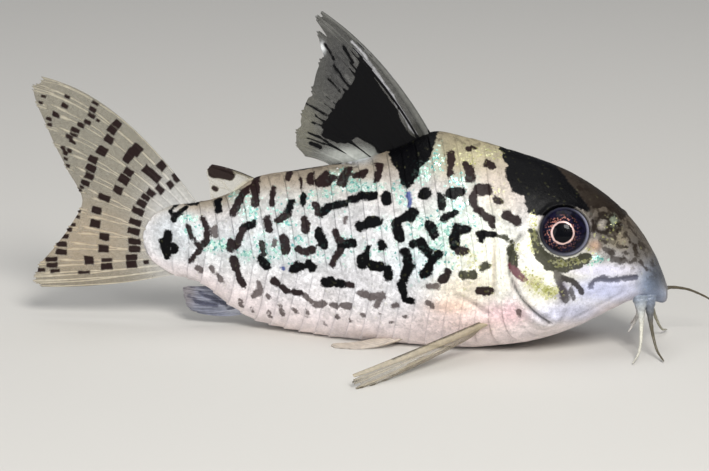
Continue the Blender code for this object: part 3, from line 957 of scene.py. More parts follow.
@dataclass
class BodyShape:
    """The body's outlines from the side and front, as the solids have them."""

    back: tuple[Place, ...] = (
        (-26.0, 12.4), (-23.0, 12.9), (-20.2, 13.9), (-17.4, 15.7), (-13.0, 16.6), (-7.0, 17.9),
        (-3.0, 19.4), (0.6, 21.0), (3.0, 20.6), (8.0, 19.35), (13.0, 17.7), (17.3, 15.2),
        (20.3, 12.3), (22.0, 9.7), (23.0, 7.5), (23.5, 6.1),
    )
    underside: tuple[Place, ...] = (
        (-26.0, 5.1), (-23.5, 4.5), (-20.2, 2.2), (-17.4, 0.8), (-13.6, 0.1), (-9.0, -0.25),
        (-2.0, -0.4), (4.0, -0.35), (7.5, 0.1), (10.0, 0.55), (12.2, 1.2), (15.2, 2.45),
        (18.3, 4.15), (20.6, 5.2), (23.0, 5.1), (23.5, 5.3),
    )
    half_width: tuple[Place, ...] = (
        (-26.0, 1.1), (-22.0, 1.9), (-19.0, 2.6), (-15.0, 3.6), (-11.0, 4.6), (-6.0, 5.7),
        (-1.0, 6.5), (4.0, 6.95), (8.0, 6.9), (11.0, 6.55), (14.0, 6.0), (17.0, 5.1),
        (20.0, 3.8), (22.0, 2.7), (23.0, 1.8), (23.5, 1.0),
    )
    widest_at: tuple[Place, ...] = (
        (-26.0, 8.8), (-20.0, 8.0), (-13.0, 7.6), (-5.0, 7.2), (4.0, 6.9), (10.0, 6.8),
        (14.0, 6.9), (18.0, 7.3), (21.0, 7.4), (22.5, 6.6), (23.5, 5.7),
    )
    back_pinch: tuple[Place, ...] = (
        (-26.0, 1.0), (-10.0, 1.15), (2.0, 1.2), (12.0, 1.05), (20.0, 0.95), (23.5, 0.9),
    )
    underside_flatness: tuple[Place, ...] = (
        (-26.0, 1.0), (-14.0, 0.9), (-8.0, 0.72), (8.0, 0.72), (20.0, 0.8), (23.5, 1.0),
    )

    def __post_init__(self) -> None:
        """Make a smooth curve of each outline."""
        self.curves = {
            name: Profile(getattr(self, name))
            for name in ("back", "underside", "half_width", "widest_at", "back_pinch", "underside_flatness")
        }

    def at(self, x: Array, turn: Array, side: Array | float) -> Array:
        """Return the body's surface.

        Args:
            x: place along the body.
            turn: 0 at the back to 1 at the underside.
            side: -1 for the right, 1 for the left.

        Returns:
            The points.
        """
        read = {name: curve.at(x) for name, curve in self.curves.items()}
        height = read["widest_at"]
        cosine = np.cos(np.pi * turn)
        sine = np.maximum(np.sin(np.pi * turn), 1e-9)
        above = cosine >= 0
        flatness = read["underside_flatness"]
        y = read["half_width"] * sine ** np.where(above, read["back_pinch"], flatness)
        up = (read["back"] - height) * np.maximum(cosine, 0)
        down = (height - read["underside"]) * np.maximum(-cosine, 0) ** (0.5 + 0.5 * flatness)
        return np.stack(np.broadcast_arrays(x, side * y, height + up - down), axis=-1)

    def on_flank(self, x: float, z: float) -> Array:
        """Return the point of the right flank at this place seen from the side."""
        turns = np.linspace(0.0, 1.0, 4001)
        ring = self.at(np.full_like(turns, x), turns, -1.0)
        return ring[np.argmin(np.abs(ring[:, 2] - z))]


# Dark marks of the body, by ink: half width, then the places that the stroke runs through
BODY_MARKS = (
    Marks(Ink.BLACK, (
        (5.2, (452, 193), (460, 193)), (4.6, (441, 197), (441, 206)), (4.5, (443, 218), (455, 213)),
        (5.5, (430, 224), (434, 234)), (4.8, (456, 229), (467, 228)), (5.0, (456, 231), (457, 246)),
        (3.6, (480, 235), (493, 234)), (4.2, (481, 234), (482, 238)), (6.0, (424, 192), (425, 193)),
        (5.5, (387, 196), (387, 200)), (5.6, (414, 213), (408, 216)), (4.0, (406, 217), (400, 222)),
        (5.3, (395, 224), (402, 237)), (4.8, (361, 227), (366, 225)), (5.4, (371, 222), (377, 220)),
        (4.0, (412, 244), (419, 240)), (5.0, (421, 243), (429, 252)), (4.2, (433, 259), (440, 256)),
        (5.0, (433, 260), (425, 273)), (5.0, (404, 252), (408, 264)), (4.2, (408, 264), (404, 278)),
        (5.2, (402, 285), (406, 293)), (3.8, (408, 299), (411, 300)), (4.2, (382, 243), (382, 246)),
        (3.0, (369, 246), (368, 255)), (5.5, (360, 262), (367, 258)), (5.0, (372, 264), (381, 266)),
        (4.8, (387, 271), (388, 276)), (5.6, (325, 282), (330, 281)), (4.2, (337, 282), (342, 283)),
        (5.0, (343, 246), (352, 243)), (4.5, (352, 199), (362, 196), (375, 196)),
        (4.5, (321, 214), (331, 207), (344, 204)), (4.5, (303, 198), (303, 203)),
        (4.0, (291, 204), (288, 213)),
        (5.5, (262, 261), (268, 266)), (5.2, (294, 268), (301, 267)), (4.5, (308, 264), (313, 268)),
        (4.2, (319, 233), (324, 244)), (4.0, (254, 224), (245, 227)), (4.8, (218, 202), (218, 210)),
        (4.5, (188, 196), (197, 199)), (3.2, (175, 205), (171, 212), (175, 219), (182, 213), (187, 208)),
        (5.5, (169, 234), (167, 243)), (5.2, (165, 242), (168, 254)), (4.6, (175, 247), (175, 250)),
    )),
    Marks(Ink.BROWN, (
        (4.6, (247, 190), (240, 200), (234, 212)), (4.8, (256, 176), (257, 190), (255, 204)),
        (3.0, (273, 189), (273, 203)), (3.0, (290, 173), (289, 179)), (1.6, (300, 179), (300, 188)),
        (3.4, (311, 176), (311, 183)), (5.8, (321, 182), (330, 181)), (3.6, (325, 174), (325, 178)),
        (5.5, (348, 169), (343, 181)), (4.5, (357, 174), (363, 173)), (4.6, (379, 166), (377, 179)),
        (4.0, (316, 205), (319, 216)), (3.0, (203, 219), (207, 230), (207, 240)),
        (2.5, (187, 225), (192, 238), (203, 248)), (3.0, (207, 240), (200, 252), (190, 262)),
        (4.0, (245, 228), (240, 240)), (4.8, (232, 243), (231, 248)), (3.6, (240, 240), (236, 247)),
        (4.7, (269, 220), (269, 228)), (4.0, (288, 214), (279, 222)), (5.0, (305, 220), (306, 229)),
        (3.8, (261, 243), (265, 255)), (4.3, (284, 238), (287, 251)), (4.2, (300, 249), (306, 252)),
        (4.0, (306, 252), (313, 248)), (4.0, (335, 233), (341, 243)), (4.0, (342, 247), (338, 256)),
        (3.2, (338, 256), (333, 265)), (4.8, (234, 261), (236, 268)), (3.7, (238, 270), (244, 284)),
        (4.2, (275, 281), (277, 284)), (3.7, (283, 286), (287, 291)), (3.7, (293, 292), (300, 292)),
        (3.4, (347, 284), (354, 285)), (4.2, (478, 292), (490, 292)), (3.6, (451, 154), (450, 173)),
        (4.6, (468, 167), (468, 178)), (4.4, (488, 164), (491, 164)), (5.2, (477, 190), (488, 189)),
        (3.6, (475, 192), (473, 199), (478, 209)), (4.0, (478, 209), (486, 216), (492, 220)),
        (3.4, (492, 219), (493, 225)), (4.2, (495, 198), (500, 202)), (5.0, (508, 215), (516, 221)),
        (3.4, (470, 149), (475, 150)), (5.0, (459, 250), (464, 251)), (3.8, (442, 281), (449, 273)),
    )),
    Marks(Ink.OLIVE, (
        (4.4, (463, 276), (472, 275)), (3.8, (483, 268), (487, 264)), (3.2, (510, 246), (511, 252)),
        (3.8, (512, 254), (514, 264)), (1.8, (500, 236), (506, 238), (510, 245)),
    )),
    Marks(Ink.FAINT, (
        (2.6, (345, 219), (345, 223)), (4.6, (215, 229), (216, 232)), (3.0, (274, 242), (274, 245)),
        (3.0, (259, 283), (260, 288)), (4.0, (255, 296), (261, 293)), (3.2, (268, 296), (270, 296)),
        (2.8, (306, 295), (311, 301)), (3.3, (315, 304), (324, 304)), (2.7, (331, 306), (336, 306)),
        (3.5, (344, 306), (348, 305)), (3.4, (359, 293), (366, 295)), (3.8, (371, 297), (382, 295)),
        (3.0, (378, 299), (378, 306)), (2.5, (392, 305), (397, 306)), (3.3, (426, 304), (431, 306)),
        (3.3, (431, 287), (437, 287)), (2.5, (212, 268), (214, 272)), (3.0, (218, 275), (222, 280)),
        (2.0, (269, 311), (269, 316)), (2.4, (281, 305), (282, 314)), (2.2, (295, 309), (297, 313)),
        (2.0, (309, 311), (309, 316)), (1.8, (363, 313), (364, 315)), (1.8, (378, 313), (380, 314)),
        (1.6, (350, 317), (351, 319)), (1.8, (323, 322), (325, 325)), (2.2, (241, 299), (241, 305)),
        (2.2, (518, 310), (519, 316)), (3.2, (196, 268), (202, 271)), (2.0, (337, 315), (338, 318)),
        (1.6, (252, 307), (252, 311)), (1.6, (404, 316), (406, 317)), (1.5, (392, 322), (393, 323)),
    )),
    Marks(Ink.BLUE, ((1.9, (409, 193), (411, 205)), (2.0, (280, 267), (282, 269)))),
    Marks(Ink.BLACK, ((1.8, (292, 168), (310, 165), (325, 162), (340, 160)),)),
    Marks(Ink.PALE, (
        (1.0, (344, 164), (339, 156)), (1.1, (351, 163), (348, 154)), (1.1, (359, 161), (360, 152)),
        (1.0, (366, 160), (369, 153)),
    )),
)

# Dark marks of the head, smokier toward the snout
HEAD_MARKS = (
    Marks(Ink.SLATE, (
        (2.3, (591, 287), (594, 281), (601, 278), (610, 280), (620, 279), (636, 277)),
    )),
    Marks(Ink.UMBER, (
        (3.0, (561, 277), (570, 279), (576, 284), (582, 292)),
        (1.5, *oval((602, 225), (7.6, 8.2))), (1.2, *oval((613, 222), (4.8, 7.2))),
        (1.5, (598, 214), (606, 213)), (1.5, (592, 221), (592, 230)), (1.6, (620, 226), (618, 233)),
        (2.0, (578, 195), (588, 199), (598, 205)), (1.6, (596, 196), (612, 205), (622, 214)),
        (1.6, (519, 310), (519, 316)),
    )),
    Marks(Ink.OLIVE, ((3.2, (513, 253), (515, 260)), (2.0, (497, 235), (505, 236), (511, 242)))),
    Marks(Ink.MAROON, ((3.8, (513, 267), (516, 272)), (3.0, (518, 273), (523, 279)))),
    Marks(Ink.SMOKE, (
        (3.4, (556, 272), (560, 284), (566, 299)), (2.4, (571, 290), (574, 299)),
        (2.6, (606, 250), (611, 253)), (3.2, (613, 259), (623, 261)), (1.8, (628, 262), (635, 260)),
        (1.6, (626, 234), (630, 242)), (1.6, (634, 246), (639, 254)), (1.3, (601, 240), (606, 242)),
        (1.4, (618, 244), (621, 248)), (1.2, (628, 224), (636, 236)), (1.0, (622, 252), (628, 254)),
        (1.4, (641, 262), (647, 270)), (1.1, (610, 236), (616, 238)), (1.0, (640, 240), (645, 248)),
    )),
)

HEAD_PATCHES = (
    Patch(Ink.UMBER, (
        (545, 110), (552, 170), (566, 184), (578, 198), (589, 212), (594, 208), (603, 206), (612, 212),
        (622, 220), (632, 214), (640, 200), (610, 110),
    ), 3.2),
    Patch(Ink.BLACK, (
        (499, 120), (503, 158), (508, 178), (513, 190), (524, 196), (528, 211), (538, 217), (546, 216),
        (552, 210), (564, 206), (576, 207), (588, 214), (592, 208), (584, 196), (574, 182), (562, 164),
        (552, 120),
    ), 2.2),
    Patch(Ink.OLIVE, (
        (531, 230), (531, 246), (536, 258), (545, 267), (556, 272), (567, 271), (579, 268), (588, 262),
        (592, 255), (584, 252), (572, 257), (562, 258), (552, 255), (544, 248), (540, 239), (538, 230),
    ), 1.8),
)

BODY_PATCHES = (
    Patch(Ink.BLACK, (
        (376, 120), (384, 148), (391, 156), (396, 170), (402, 184), (408, 190), (414, 184), (420, 172),
        (428, 160), (433, 146), (437, 134), (446, 120),
    ), 1.8),
)

# Where green and blue glitter lies: middle, reach and strength
GLITTER = (
    (360, 187, 26, 6, 0.75), (342, 178, 16, 8, 0.6), (325, 194, 16, 5, 0.5), (400, 190, 10, 8, 0.5),
    (422, 172, 9, 12, 0.75), (437, 160, 6, 16, 0.5), (250, 212, 10, 14, 0.65), (262, 240, 7, 10, 0.5),
    (215, 246, 14, 7, 0.8), (187, 218, 10, 5, 0.7), (193, 232, 10, 8, 0.45), (268, 253, 12, 10, 0.6),
    (245, 255, 10, 9, 0.55), (277, 250, 10, 10, 0.6), (237, 197, 8, 8, 0.45), (286, 222, 12, 8, 0.45),
    (300, 238, 10, 9, 0.4), (345, 240, 12, 8, 0.4), (440, 240, 16, 26, 0.5), (455, 206, 18, 10, 0.5),
    (462, 182, 14, 8, 0.5), (385, 225, 12, 9, 0.35), (404, 200, 9, 10, 0.45), (470, 222, 14, 8, 0.45),
    (378, 250, 10, 8, 0.3), (597, 259, 8, 4, 0.9), (590, 262, 6, 3, 0.6), (420, 222, 12, 10, 0.4),
    (300, 205, 60, 14, 0.22), (300, 250, 90, 16, 0.2), (430, 250, 40, 30, 0.25), (357, 152, 12, 6, 0.4),
)
GOLD = (
    (490, 153, 18, 6, 0.22), (470, 158, 22, 10, 0.2), (533, 222, 4, 9, 0.8), (533, 240, 5, 14, 0.75),
    (562, 263, 14, 4, 0.9), (578, 261, 10, 4, 0.9), (549, 291, 11, 7, 0.95), (536, 284, 9, 8, 0.8),
    (526, 274, 6, 8, 0.6), (500, 200, 12, 20, 0.1), (470, 262, 30, 20, 0.16), (485, 285, 26, 14, 0.12),
    (602, 236, 8, 6, 0.2), (614, 226, 7, 6, 0.3), (516, 250, 5, 8, 0.6), (592, 250, 6, 5, 0.3),
)

# Where dark clouds of pigment lie on the snout and the back: middle, reach and strength
CLOUDS = (
    (612, 216, 34, 30, 0.95), (630, 246, 20, 24, 0.95), (610, 248, 14, 12, 0.6), (575, 186, 26, 20, 0.9),
    (549, 291, 9, 5, 0.55), (537, 284, 7, 5, 0.4), (650, 266, 12, 14, 0.6),
    (330, 165, 60, 5, 0.6), (250, 172, 50, 6, 0.6), (480, 140, 30, 10, 0.5), (430, 136, 16, 10, 0.7),
)

NOSTRIL_DISCS = ((602, 225, 8, 8, 1.0), (613, 222, 6, 8, 1.0))

# Soft colour of the ground, with a painted shade line on the shoulder bar and painted highlights on the gill
# cover among them
BODY_WASHES = (
    Wash((250, 170), (120, 16), (150, 138, 122), 0.55),
    Wash((465, 155), (50, 26), (168, 160, 128), 0.75),
    Wash((495, 195), (26, 34), (205, 192, 180), 0.7),
    Wash((455, 235), (52, 34), (228, 238, 226), 0.75),
    Wash((420, 262), (34, 26), (222, 232, 238), 0.6),
    Wash((490, 262), (34, 36), (250, 249, 234), 0.9),
    Wash((465, 290), (36, 16), (238, 226, 205), 0.8),
    Wash((470, 322), (60, 16), (244, 220, 214), 0.8),
    Wash((510, 312), (26, 12), (226, 188, 196), 0.75),
    Wash((452, 306), (26, 8), (234, 196, 172), 0.6),
    Wash((501, 268), (5, 32), (252, 252, 240), 1.0),
    # Painted shade: a thin brown-grey line down the shoulder bar's rear edge, beside its groove
    Wash((494, 264), (2.4, 26), (176, 160, 142), 0.75),
    Wash((357, 156), (16, 9), (192, 200, 206), 0.75),
    Wash((260, 250), (90, 26), (205, 212, 214), 0.5),
    Wash((170, 235), (20, 30), (196, 206, 212), 0.5),
)
HEAD_WASHES = (
    Wash((530, 175), (40, 30), (120, 104, 92), 0.6),
    Wash((612, 218), (44, 44), (84, 76, 66), 0.97),
    Wash((640, 250), (18, 30), (84, 79, 73), 0.8),
    Wash((594, 246), (7, 6), (170, 132, 106), 0.8),
    Wash((592, 230), (5, 10), (150, 142, 140), 0.6),
    Wash((616, 242), (9, 6), (160, 152, 128), 0.6),
    Wash((545, 275), (44, 40), (238, 236, 214), 0.9),
    # Painted highlights: a band of near-white across the gill cover
    Wash((524, 252), (12, 12), (255, 253, 238), 1.0),
    Wash((538, 266), (14, 11), (255, 254, 240), 1.0),
    Wash((552, 281), (8, 9), (250, 250, 236), 0.9),
    Wash((533, 281), (9, 7), (178, 166, 96), 0.75),
    Wash((549, 291), (10, 6), (150, 146, 70), 0.85),
    Wash((534, 301), (16, 6), (250, 244, 230), 0.9),
    Wash((602, 270), (36, 6), (222, 220, 236), 1.0),
    Wash((604, 290), (46, 13), (194, 198, 226), 0.95),
    Wash((566, 311), (36, 11), (200, 202, 228), 0.8),
    Wash((562, 289), (7, 13), (124, 116, 138), 0.85),
    Wash((513, 284), (5, 8), (234, 168, 180), 0.9),
    Wash((651, 286), (14, 20), (108, 124, 148), 0.9),
    Wash((603, 225), (11, 11), (40, 34, 30), 0.95),
    Wash((614, 222), (8.5, 10), (58, 52, 44), 0.85),
    Wash((602, 225), (5.4, 6.2), (146, 139, 130), 1.0),
    Wash((613, 221), (4.2, 7), (124, 132, 114), 1.0),
    Wash((622, 240), (7, 10), (128, 118, 100), 0.7),
    Wash((659, 270), (11, 22), (74, 78, 86), 0.9),
    Wash((657, 298), (15, 9), (116, 126, 146), 0.85),
)

# Raised lines and grooves of the head and shoulder, heights in millimetres; the grooves also get painted
# shade
CREASES = (
    Crease((
        (520, 236), (513, 246), (509, 260), (509, 274), (514, 288), (522, 299), (534, 311), (549, 321),
    ), 1.9, -0.42),
    Crease(((524, 244), (516, 256), (514, 270), (519, 284), (528, 296), (540, 307), (555, 316)), 3.4, 0.2),
    Crease(((501, 240), (502, 265), (501, 290), (499, 302)), 3.6, 0.24),
    Crease(((495, 238), (496, 264), (494, 292), (491, 304)), 1.7, -0.16),
    Crease(((488, 242), (489, 264), (487, 290)), 3.4, 0.1),
    Crease(((541, 250), (553, 267), (562, 284), (562, 301)), 2.4, -0.12),
    Crease(((538, 262), (560, 273), (588, 264), (606, 252)), 3.6, 0.1),
    Crease(((455, 296), (470, 302), (487, 312)), 2.6, -0.24),
    Crease(((488, 317), (474, 322)), 8.0, 0.25),
    Crease(((505, 150), (501, 175), (498, 205)), 2.4, -0.07),
    Crease(((591, 286), (600, 279), (613, 281), (625, 279), (637, 277)), 2.0, -0.16),
    Crease(((592, 291), (604, 285), (620, 285), (634, 282)), 3.0, 0.1),
    Crease(((565, 205), (590, 210), (600, 238)), 3.0, 0.05),
    Crease(((575, 318), (600, 305), (625, 292)), 3.0, -0.08),
    Crease(((527, 311), (546, 322)), 2.2, 0.12),
)


@dataclass
class BodySkin:
    """One skin over the head, trunk and tail stem."""

    shape: BodyShape
    columns: int = 300
    head_rows: int = 126
    plates: int = 23
    plate_steps: tuple[float, ...] = (0.0, 0.1, 0.26, 0.44, 0.62, 0.79, 0.92, 1.0)
    plate_gap: float = 0.04
    plate_rise: float = 0.14
    chevron: float = 2.6
    tail_end: float = -26.0
    tongue: float = 3.3
    tongue_rows: int = 14
    stem_x: float = -13.6
    snout_x: float = 23.45
    gill_middle: float = 9.2
    gill_edge: tuple[Place, ...] = (
        (0.0, 6.2), (0.25, 7.7), (0.42, 9.3), (0.58, 9.6), (0.72, 10.5), (0.86, 12.3), (1.0, 13.6),
    )
    naked_from: float = -9.0
    cover_middle: Place = (12.1, 7.6)
    cover_reach: Place = (2.7, 4.7)
    cover_rise: float = 0.4
    tail_height: float = 8.8
    nose_height: float = 5.75
    eye_middle: Place = (13.8, 12.8)
    eye_radius: float = 2.45
    eye_sink: float = 0.9
    socket_rise: float = 0.16
    eye_look: Point = (0.15, -0.92, 0.36)
    nostrils: tuple[tuple[float, float, float], ...] = ((17.7, 13.05, 0.46), (18.85, 12.95, 0.42))
    nostril_rise: float = 0.2
    nostril_hollow: float = 0.12
    mouth_corner: Point = (20.9, 0.0, 5.15)
    mouth_half_width: float = 2.25
    lips: tuple[tuple[float, float, float], ...] = ((2.3, -0.15, 0.42), (1.1, -0.55, 0.36))
    lip_reach: float = 0.42
    slit_depth: float = 0.3
    slit_reach: float = 0.2
    feeler_swell: float = 0.3
    feeler_reach: float = 0.65
    barbel_roots: tuple[Point, ...] = field(default_factory=tuple)

    def turns(self) -> tuple[Array, Array]:
        """Return the turn and side of each column, evenly spaced on the skin."""
        fine = np.linspace(0.0, 1.0, 1001)
        ring = self.shape.at(np.full_like(fine, 4.0), fine, -1.0)
        run = np.concatenate([[0], np.cumsum(np.linalg.norm(np.diff(ring, axis=0), axis=1))])
        half = self.columns // 2
        right = np.interp(np.linspace(0, run[-1], half + 1), run, fine)
        turn = np.concatenate([right, right[-2:0:-1]])
        side = np.where(np.arange(self.columns) <= half, -1.0, 1.0)
        return turn, side

    def plate_x(self, share: Array, turn: Array) -> Array:
        """Return how far along the body a plate's edge stands at each turn.

        Args:
            share: 0 at the gill opening to 1 at the tail.
            turn: 0 at the back to 1 at the underside.

        Returns:
            The places along the body.
        """
        straight = self.gill_middle + (self.tail_end - self.gill_middle) * share
        front = Profile(self.gill_edge).at(turn) - self.gill_middle
        blend = np.maximum(1 - share / 0.64, 0) ** 3
        rear = np.clip((self.stem_x - straight) / (self.stem_x - self.tail_end), 0, 1)
        lean = self.chevron * (0.5 - 2 * np.abs(turn - 0.5))
        return straight + front * blend + lean * ease(0.0, 0.19, share) * (1 - rear**2)

    def rows(self) -> tuple[Array, Array, Array, Array]:
        """Return the grid's places along the body and each row's plate.

        Returns:
            Places (rows by columns), and for each row its place in the plate, the
            plate's number (-1 on the head and the tail's end) and how far it is along
            the tail's end.
        """
        turn, _ = self.turns()
        places, inside, number, tongue = [], [], [], []
        for i in range(self.tongue_rows, 0, -1):
            share = i / self.tongue_rows
            places.append(self.tail_end - self.tongue * share * (0.2 + 0.8 * np.sin(np.pi * turn)))
            inside.append(0.0)
            number.append(-1)
            tongue.append(share)
        for plate in range(self.plates - 1, -1, -1):
            for q in self.plate_steps[::-1]:
                x = self.plate_x(np.float64((plate + q) / self.plates), turn)
                places.append(x - (self.plate_gap if q == 0 and plate else 0.0))
                inside.append(q)
                number.append(plate)
                tongue.append(0.0)
        edge = Profile(self.gill_edge).at(turn)
        for i in range(1, self.head_rows + 1):
            share = math.sin(0.5 * math.pi * i / self.head_rows)
            places.append(edge + (self.snout_x - edge) * share)
            inside.append(0.0)
            number.append(-1)
            tongue.append(0.0)
        return np.array(places), np.array(inside), np.array(number), np.array(tongue)

    def eye_axis(self) -> tuple[Array, Array]:
        """Return the middle of the right eye and the way it looks."""
        look = unit(np.array(self.eye_look))
        return self.shape.on_flank(*self.eye_middle) - look * self.eye_sink, look

    def lip_path(self, bow: float, drop: float) -> Array:
        """Return the points along a lip.

        Args:
            bow: how far forward its middle reaches.
            drop: how far down its middle hangs, below 0.

        Returns:
            The points from the right corner of the mouth to the left.
        """
        a = np.linspace(0, math.pi, 13)
        offset = np.stack([bow * np.sin(a), -self.mouth_half_width * np.cos(a), drop * np.sin(a)], axis=-1)
        return np.array(self.mouth_corner) + offset

    def relief(self, points: Array, paint: Paint) -> tuple[Array, Array]:
        """Return how far the head's and shoulder's forms stand out, and the shade painted into their
        hollows.

        Args:
            points: N points of the smooth body, folded to the right side.
            paint: the paint that holds the drawing of these points.

        Returns:
            N heights in millimetres, and the painted shade from 0 to 1 that darkens the grooves, the mouth's
            slit and the gap round the eyes.
        """
        total = np.zeros(len(points))
        dark = np.zeros(len(points))
        far = np.hypot(
            (points[:, 0] - self.cover_middle[0]) / self.cover_reach[0],
            (points[:, 2] - self.cover_middle[1]) / self.cover_reach[1],
        )
        total += self.cover_rise * (1 - ease(0.8, 1.06, far)) * (points[:, 0] > self.gill_middle - 2)
        for crease in CREASES:
            path = paint.lift(crease.path)
            gap = distance_to_path(points, path) * DRAWING.scale / crease.half_width
            total += crease.height * np.exp(-(gap**2))
            # Painted shade: a groove, with a height below 0, darkens the colour along its path
            dark = np.maximum(dark, -1.6 * crease.height * np.exp(-((gap / 0.8) ** 2)))
        for bow, drop, height in self.lips:
            gap = distance_to_path(points, self.lip_path(bow, drop))
            total += height * np.exp(-((gap / self.lip_reach) ** 2))
        slit_bow = sum(lip[0] for lip in self.lips) / 2
        slit_drop = sum(lip[1] for lip in self.lips) / 2
        gap = distance_to_path(points, self.lip_path(slit_bow, slit_drop))
        total -= self.slit_depth * np.exp(-((gap / self.slit_reach) ** 2))
        # Painted shade in the mouth's slit
        dark = np.maximum(dark, 0.7 * np.exp(-((gap / 0.16) ** 2)))
        for x, z, radius in self.nostrils:
            gap = np.linalg.norm(points - self.shape.on_flank(x, z), axis=1)
            total += self.nostril_rise * np.exp(-(((gap - radius) / 0.15) ** 2))
            total -= self.nostril_hollow * np.exp(-((gap / 0.2) ** 2))
        for root in self.barbel_roots:
            gap = np.linalg.norm(points - np.array(root), axis=1)
            total += self.feeler_swell * np.exp(-((gap / self.feeler_reach) ** 2))
        middle, look = self.eye_axis()
        offset = points - middle
        radius = np.linalg.norm(offset - (offset @ look)[:, None] * look, axis=1)
        # Painted shade in the gap where the skin meets the eye
        shade = 0.75 * np.exp(-(((radius - self.eye_radius + 0.03) / 0.14) ** 2))
        dark = np.maximum(dark, shade * (offset @ look > -3))
        return total, np.minimum(dark, 0.8)

    def sockets(self, points: Array) -> Array:
        """Return how far each point moves to seat the eyes.

        Args:
            points: N points, folded to the right side.

        Returns:
            N moves, for the right side.
        """
        middle, look = self.eye_axis()
        offset = points - middle
        depth = offset @ look
        radius = np.linalg.norm(offset - depth[:, None] * look, axis=1)
        close = (depth > -3) & (radius < 5)
        inside = ease(self.eye_radius + 0.07, self.eye_radius - 0.23, radius) * close
        rim = self.socket_rise * np.exp(-(((radius - self.eye_radius - 0.21) / 0.2) ** 2)) * close
        return look * (rim - inside * (depth + 0.5))[:, None]

    def paint_ground(self, paint: Paint, turn: Array, x: Array, plate: Array, inside: Array) -> None:
        """Lay the ground colours, with painted highlights on the gill cover and a painted shade line on the
        shoulder among the washes.

        Args:
            paint: the paint to lay.
            turn: 0 at the back to 1 at the underside, for each point.
            x: place along the body.
            plate: each point's plate number.
            inside: how far through its plate each point is.
        """
        stops = (
            (0.0, (124, 112, 96)), (0.12, (150, 140, 126)), (0.24, (192, 187, 184)), (0.42, (212, 211, 214)),
            (0.6, (224, 220, 222)), (0.76, (240, 228, 228)), (1.0, (246, 234, 230)),
        )
        for axis in range(3):
            paint.colour[:, axis] = Profile([(s, linear(c)[axis]) for s, c in stops]).at(turn)
        paint.wash(BODY_WASHES)
        for ovals, tint in ((GLITTER, (168, 214, 206)), (GOLD, (238, 235, 190))):
            share = 0.5 * paint.density(ovals)[:, None]
            paint.colour += share * (linear(tint) - paint.colour)
        head = ease(8.5, 11.5, x)
        before = paint.colour.copy()
        paint.wash(HEAD_WASHES)
        paint.colour = before + head[:, None] * (paint.colour - before)
        tint = grain(paint.points, 2.2, 3)[:, None] * np.array([0.05, 0.035, 0.02])
        paint.colour *= 1 + tint
        plated = (plate >= 0) & ((x < self.naked_from) | (turn < 0.84))
        rows = plate + 40 * (turn > 0.5)
        chance = np.random.default_rng(12).uniform(0.93, 1.06, 200)
        paint.colour *= np.where(plated, chance[rows], 1.0)[:, None]
        seam = np.exp(-((inside / 0.09) ** 2)) + 0.3 * np.exp(-(((1 - inside) / 0.05) ** 2))
        seam = np.where(plated, seam, 0)
        middle = np.exp(-(((turn - 0.5) / 0.012) ** 2)) * (plate >= 0)
        paint.colour *= (1 - 0.13 * np.maximum(seam, 0.6 * middle))[:, None]

    def build(self) -> bpy.types.Object:
        """Build the skin with its forms and markings, and return it."""
        turn, side = self.turns()
        x, inside, number, tongue = self.rows()
        points = self.shape.at(x, turn[None, :], side[None, :])
        t = tongue[:, None]
        points[..., 1] *= 1 - 0.94 * t**0.85
        points[..., 2] = self.tail_height + (points[..., 2] - self.tail_height) * (1 - 0.16 * t**2)
        sheet = Sheet(points)
        normals = sheet.normals()
        normals *= np.sign((normals[..., 1] * points[..., 1]).sum())
        folded = sheet.folded().reshape(-1, 3)
        turns = np.broadcast_to(turn, x.shape).ravel()
        sides = np.broadcast_to(side, x.shape).ravel()
        facing = (normals @ DRAWING.axes()[0]).ravel() > 0.02
        paint = Paint(folded, (sides < 0) & facing)
        rise = self.plate_rise * ease(0.02, 0.1, turn) * ease(0.0, 0.05, np.abs(turn - 0.5))
        rise = rise * (1 - ease(0.93, 0.99, turn))
        naked = (x > self.naked_from) * ease(0.8, 0.9, turn)
        steps = np.where(number >= 0, inside**1.4, 0.0)[:, None] * rise * (1 - naked)
        forms, dark = self.relief(folded, paint)
        heights = steps + forms.reshape(x.shape)
        heights += 0.02 * grain(points, 0.8, 9)
        built = points + normals * heights[..., None]
        moved = Sheet(built).folded().reshape(-1, 3)
        shift = self.sockets(moved).reshape(built.shape)
        shift[..., 1] *= -side
        built = built + shift
        built[..., 2] = np.maximum(built[..., 2], 0.0)
        xs = x.ravel()
        plate = np.broadcast_to(number[:, None], x.shape).ravel()
        within = np.broadcast_to(inside[:, None], x.shape).ravel()
        self.paint_ground(paint, turns, xs, plate, within)
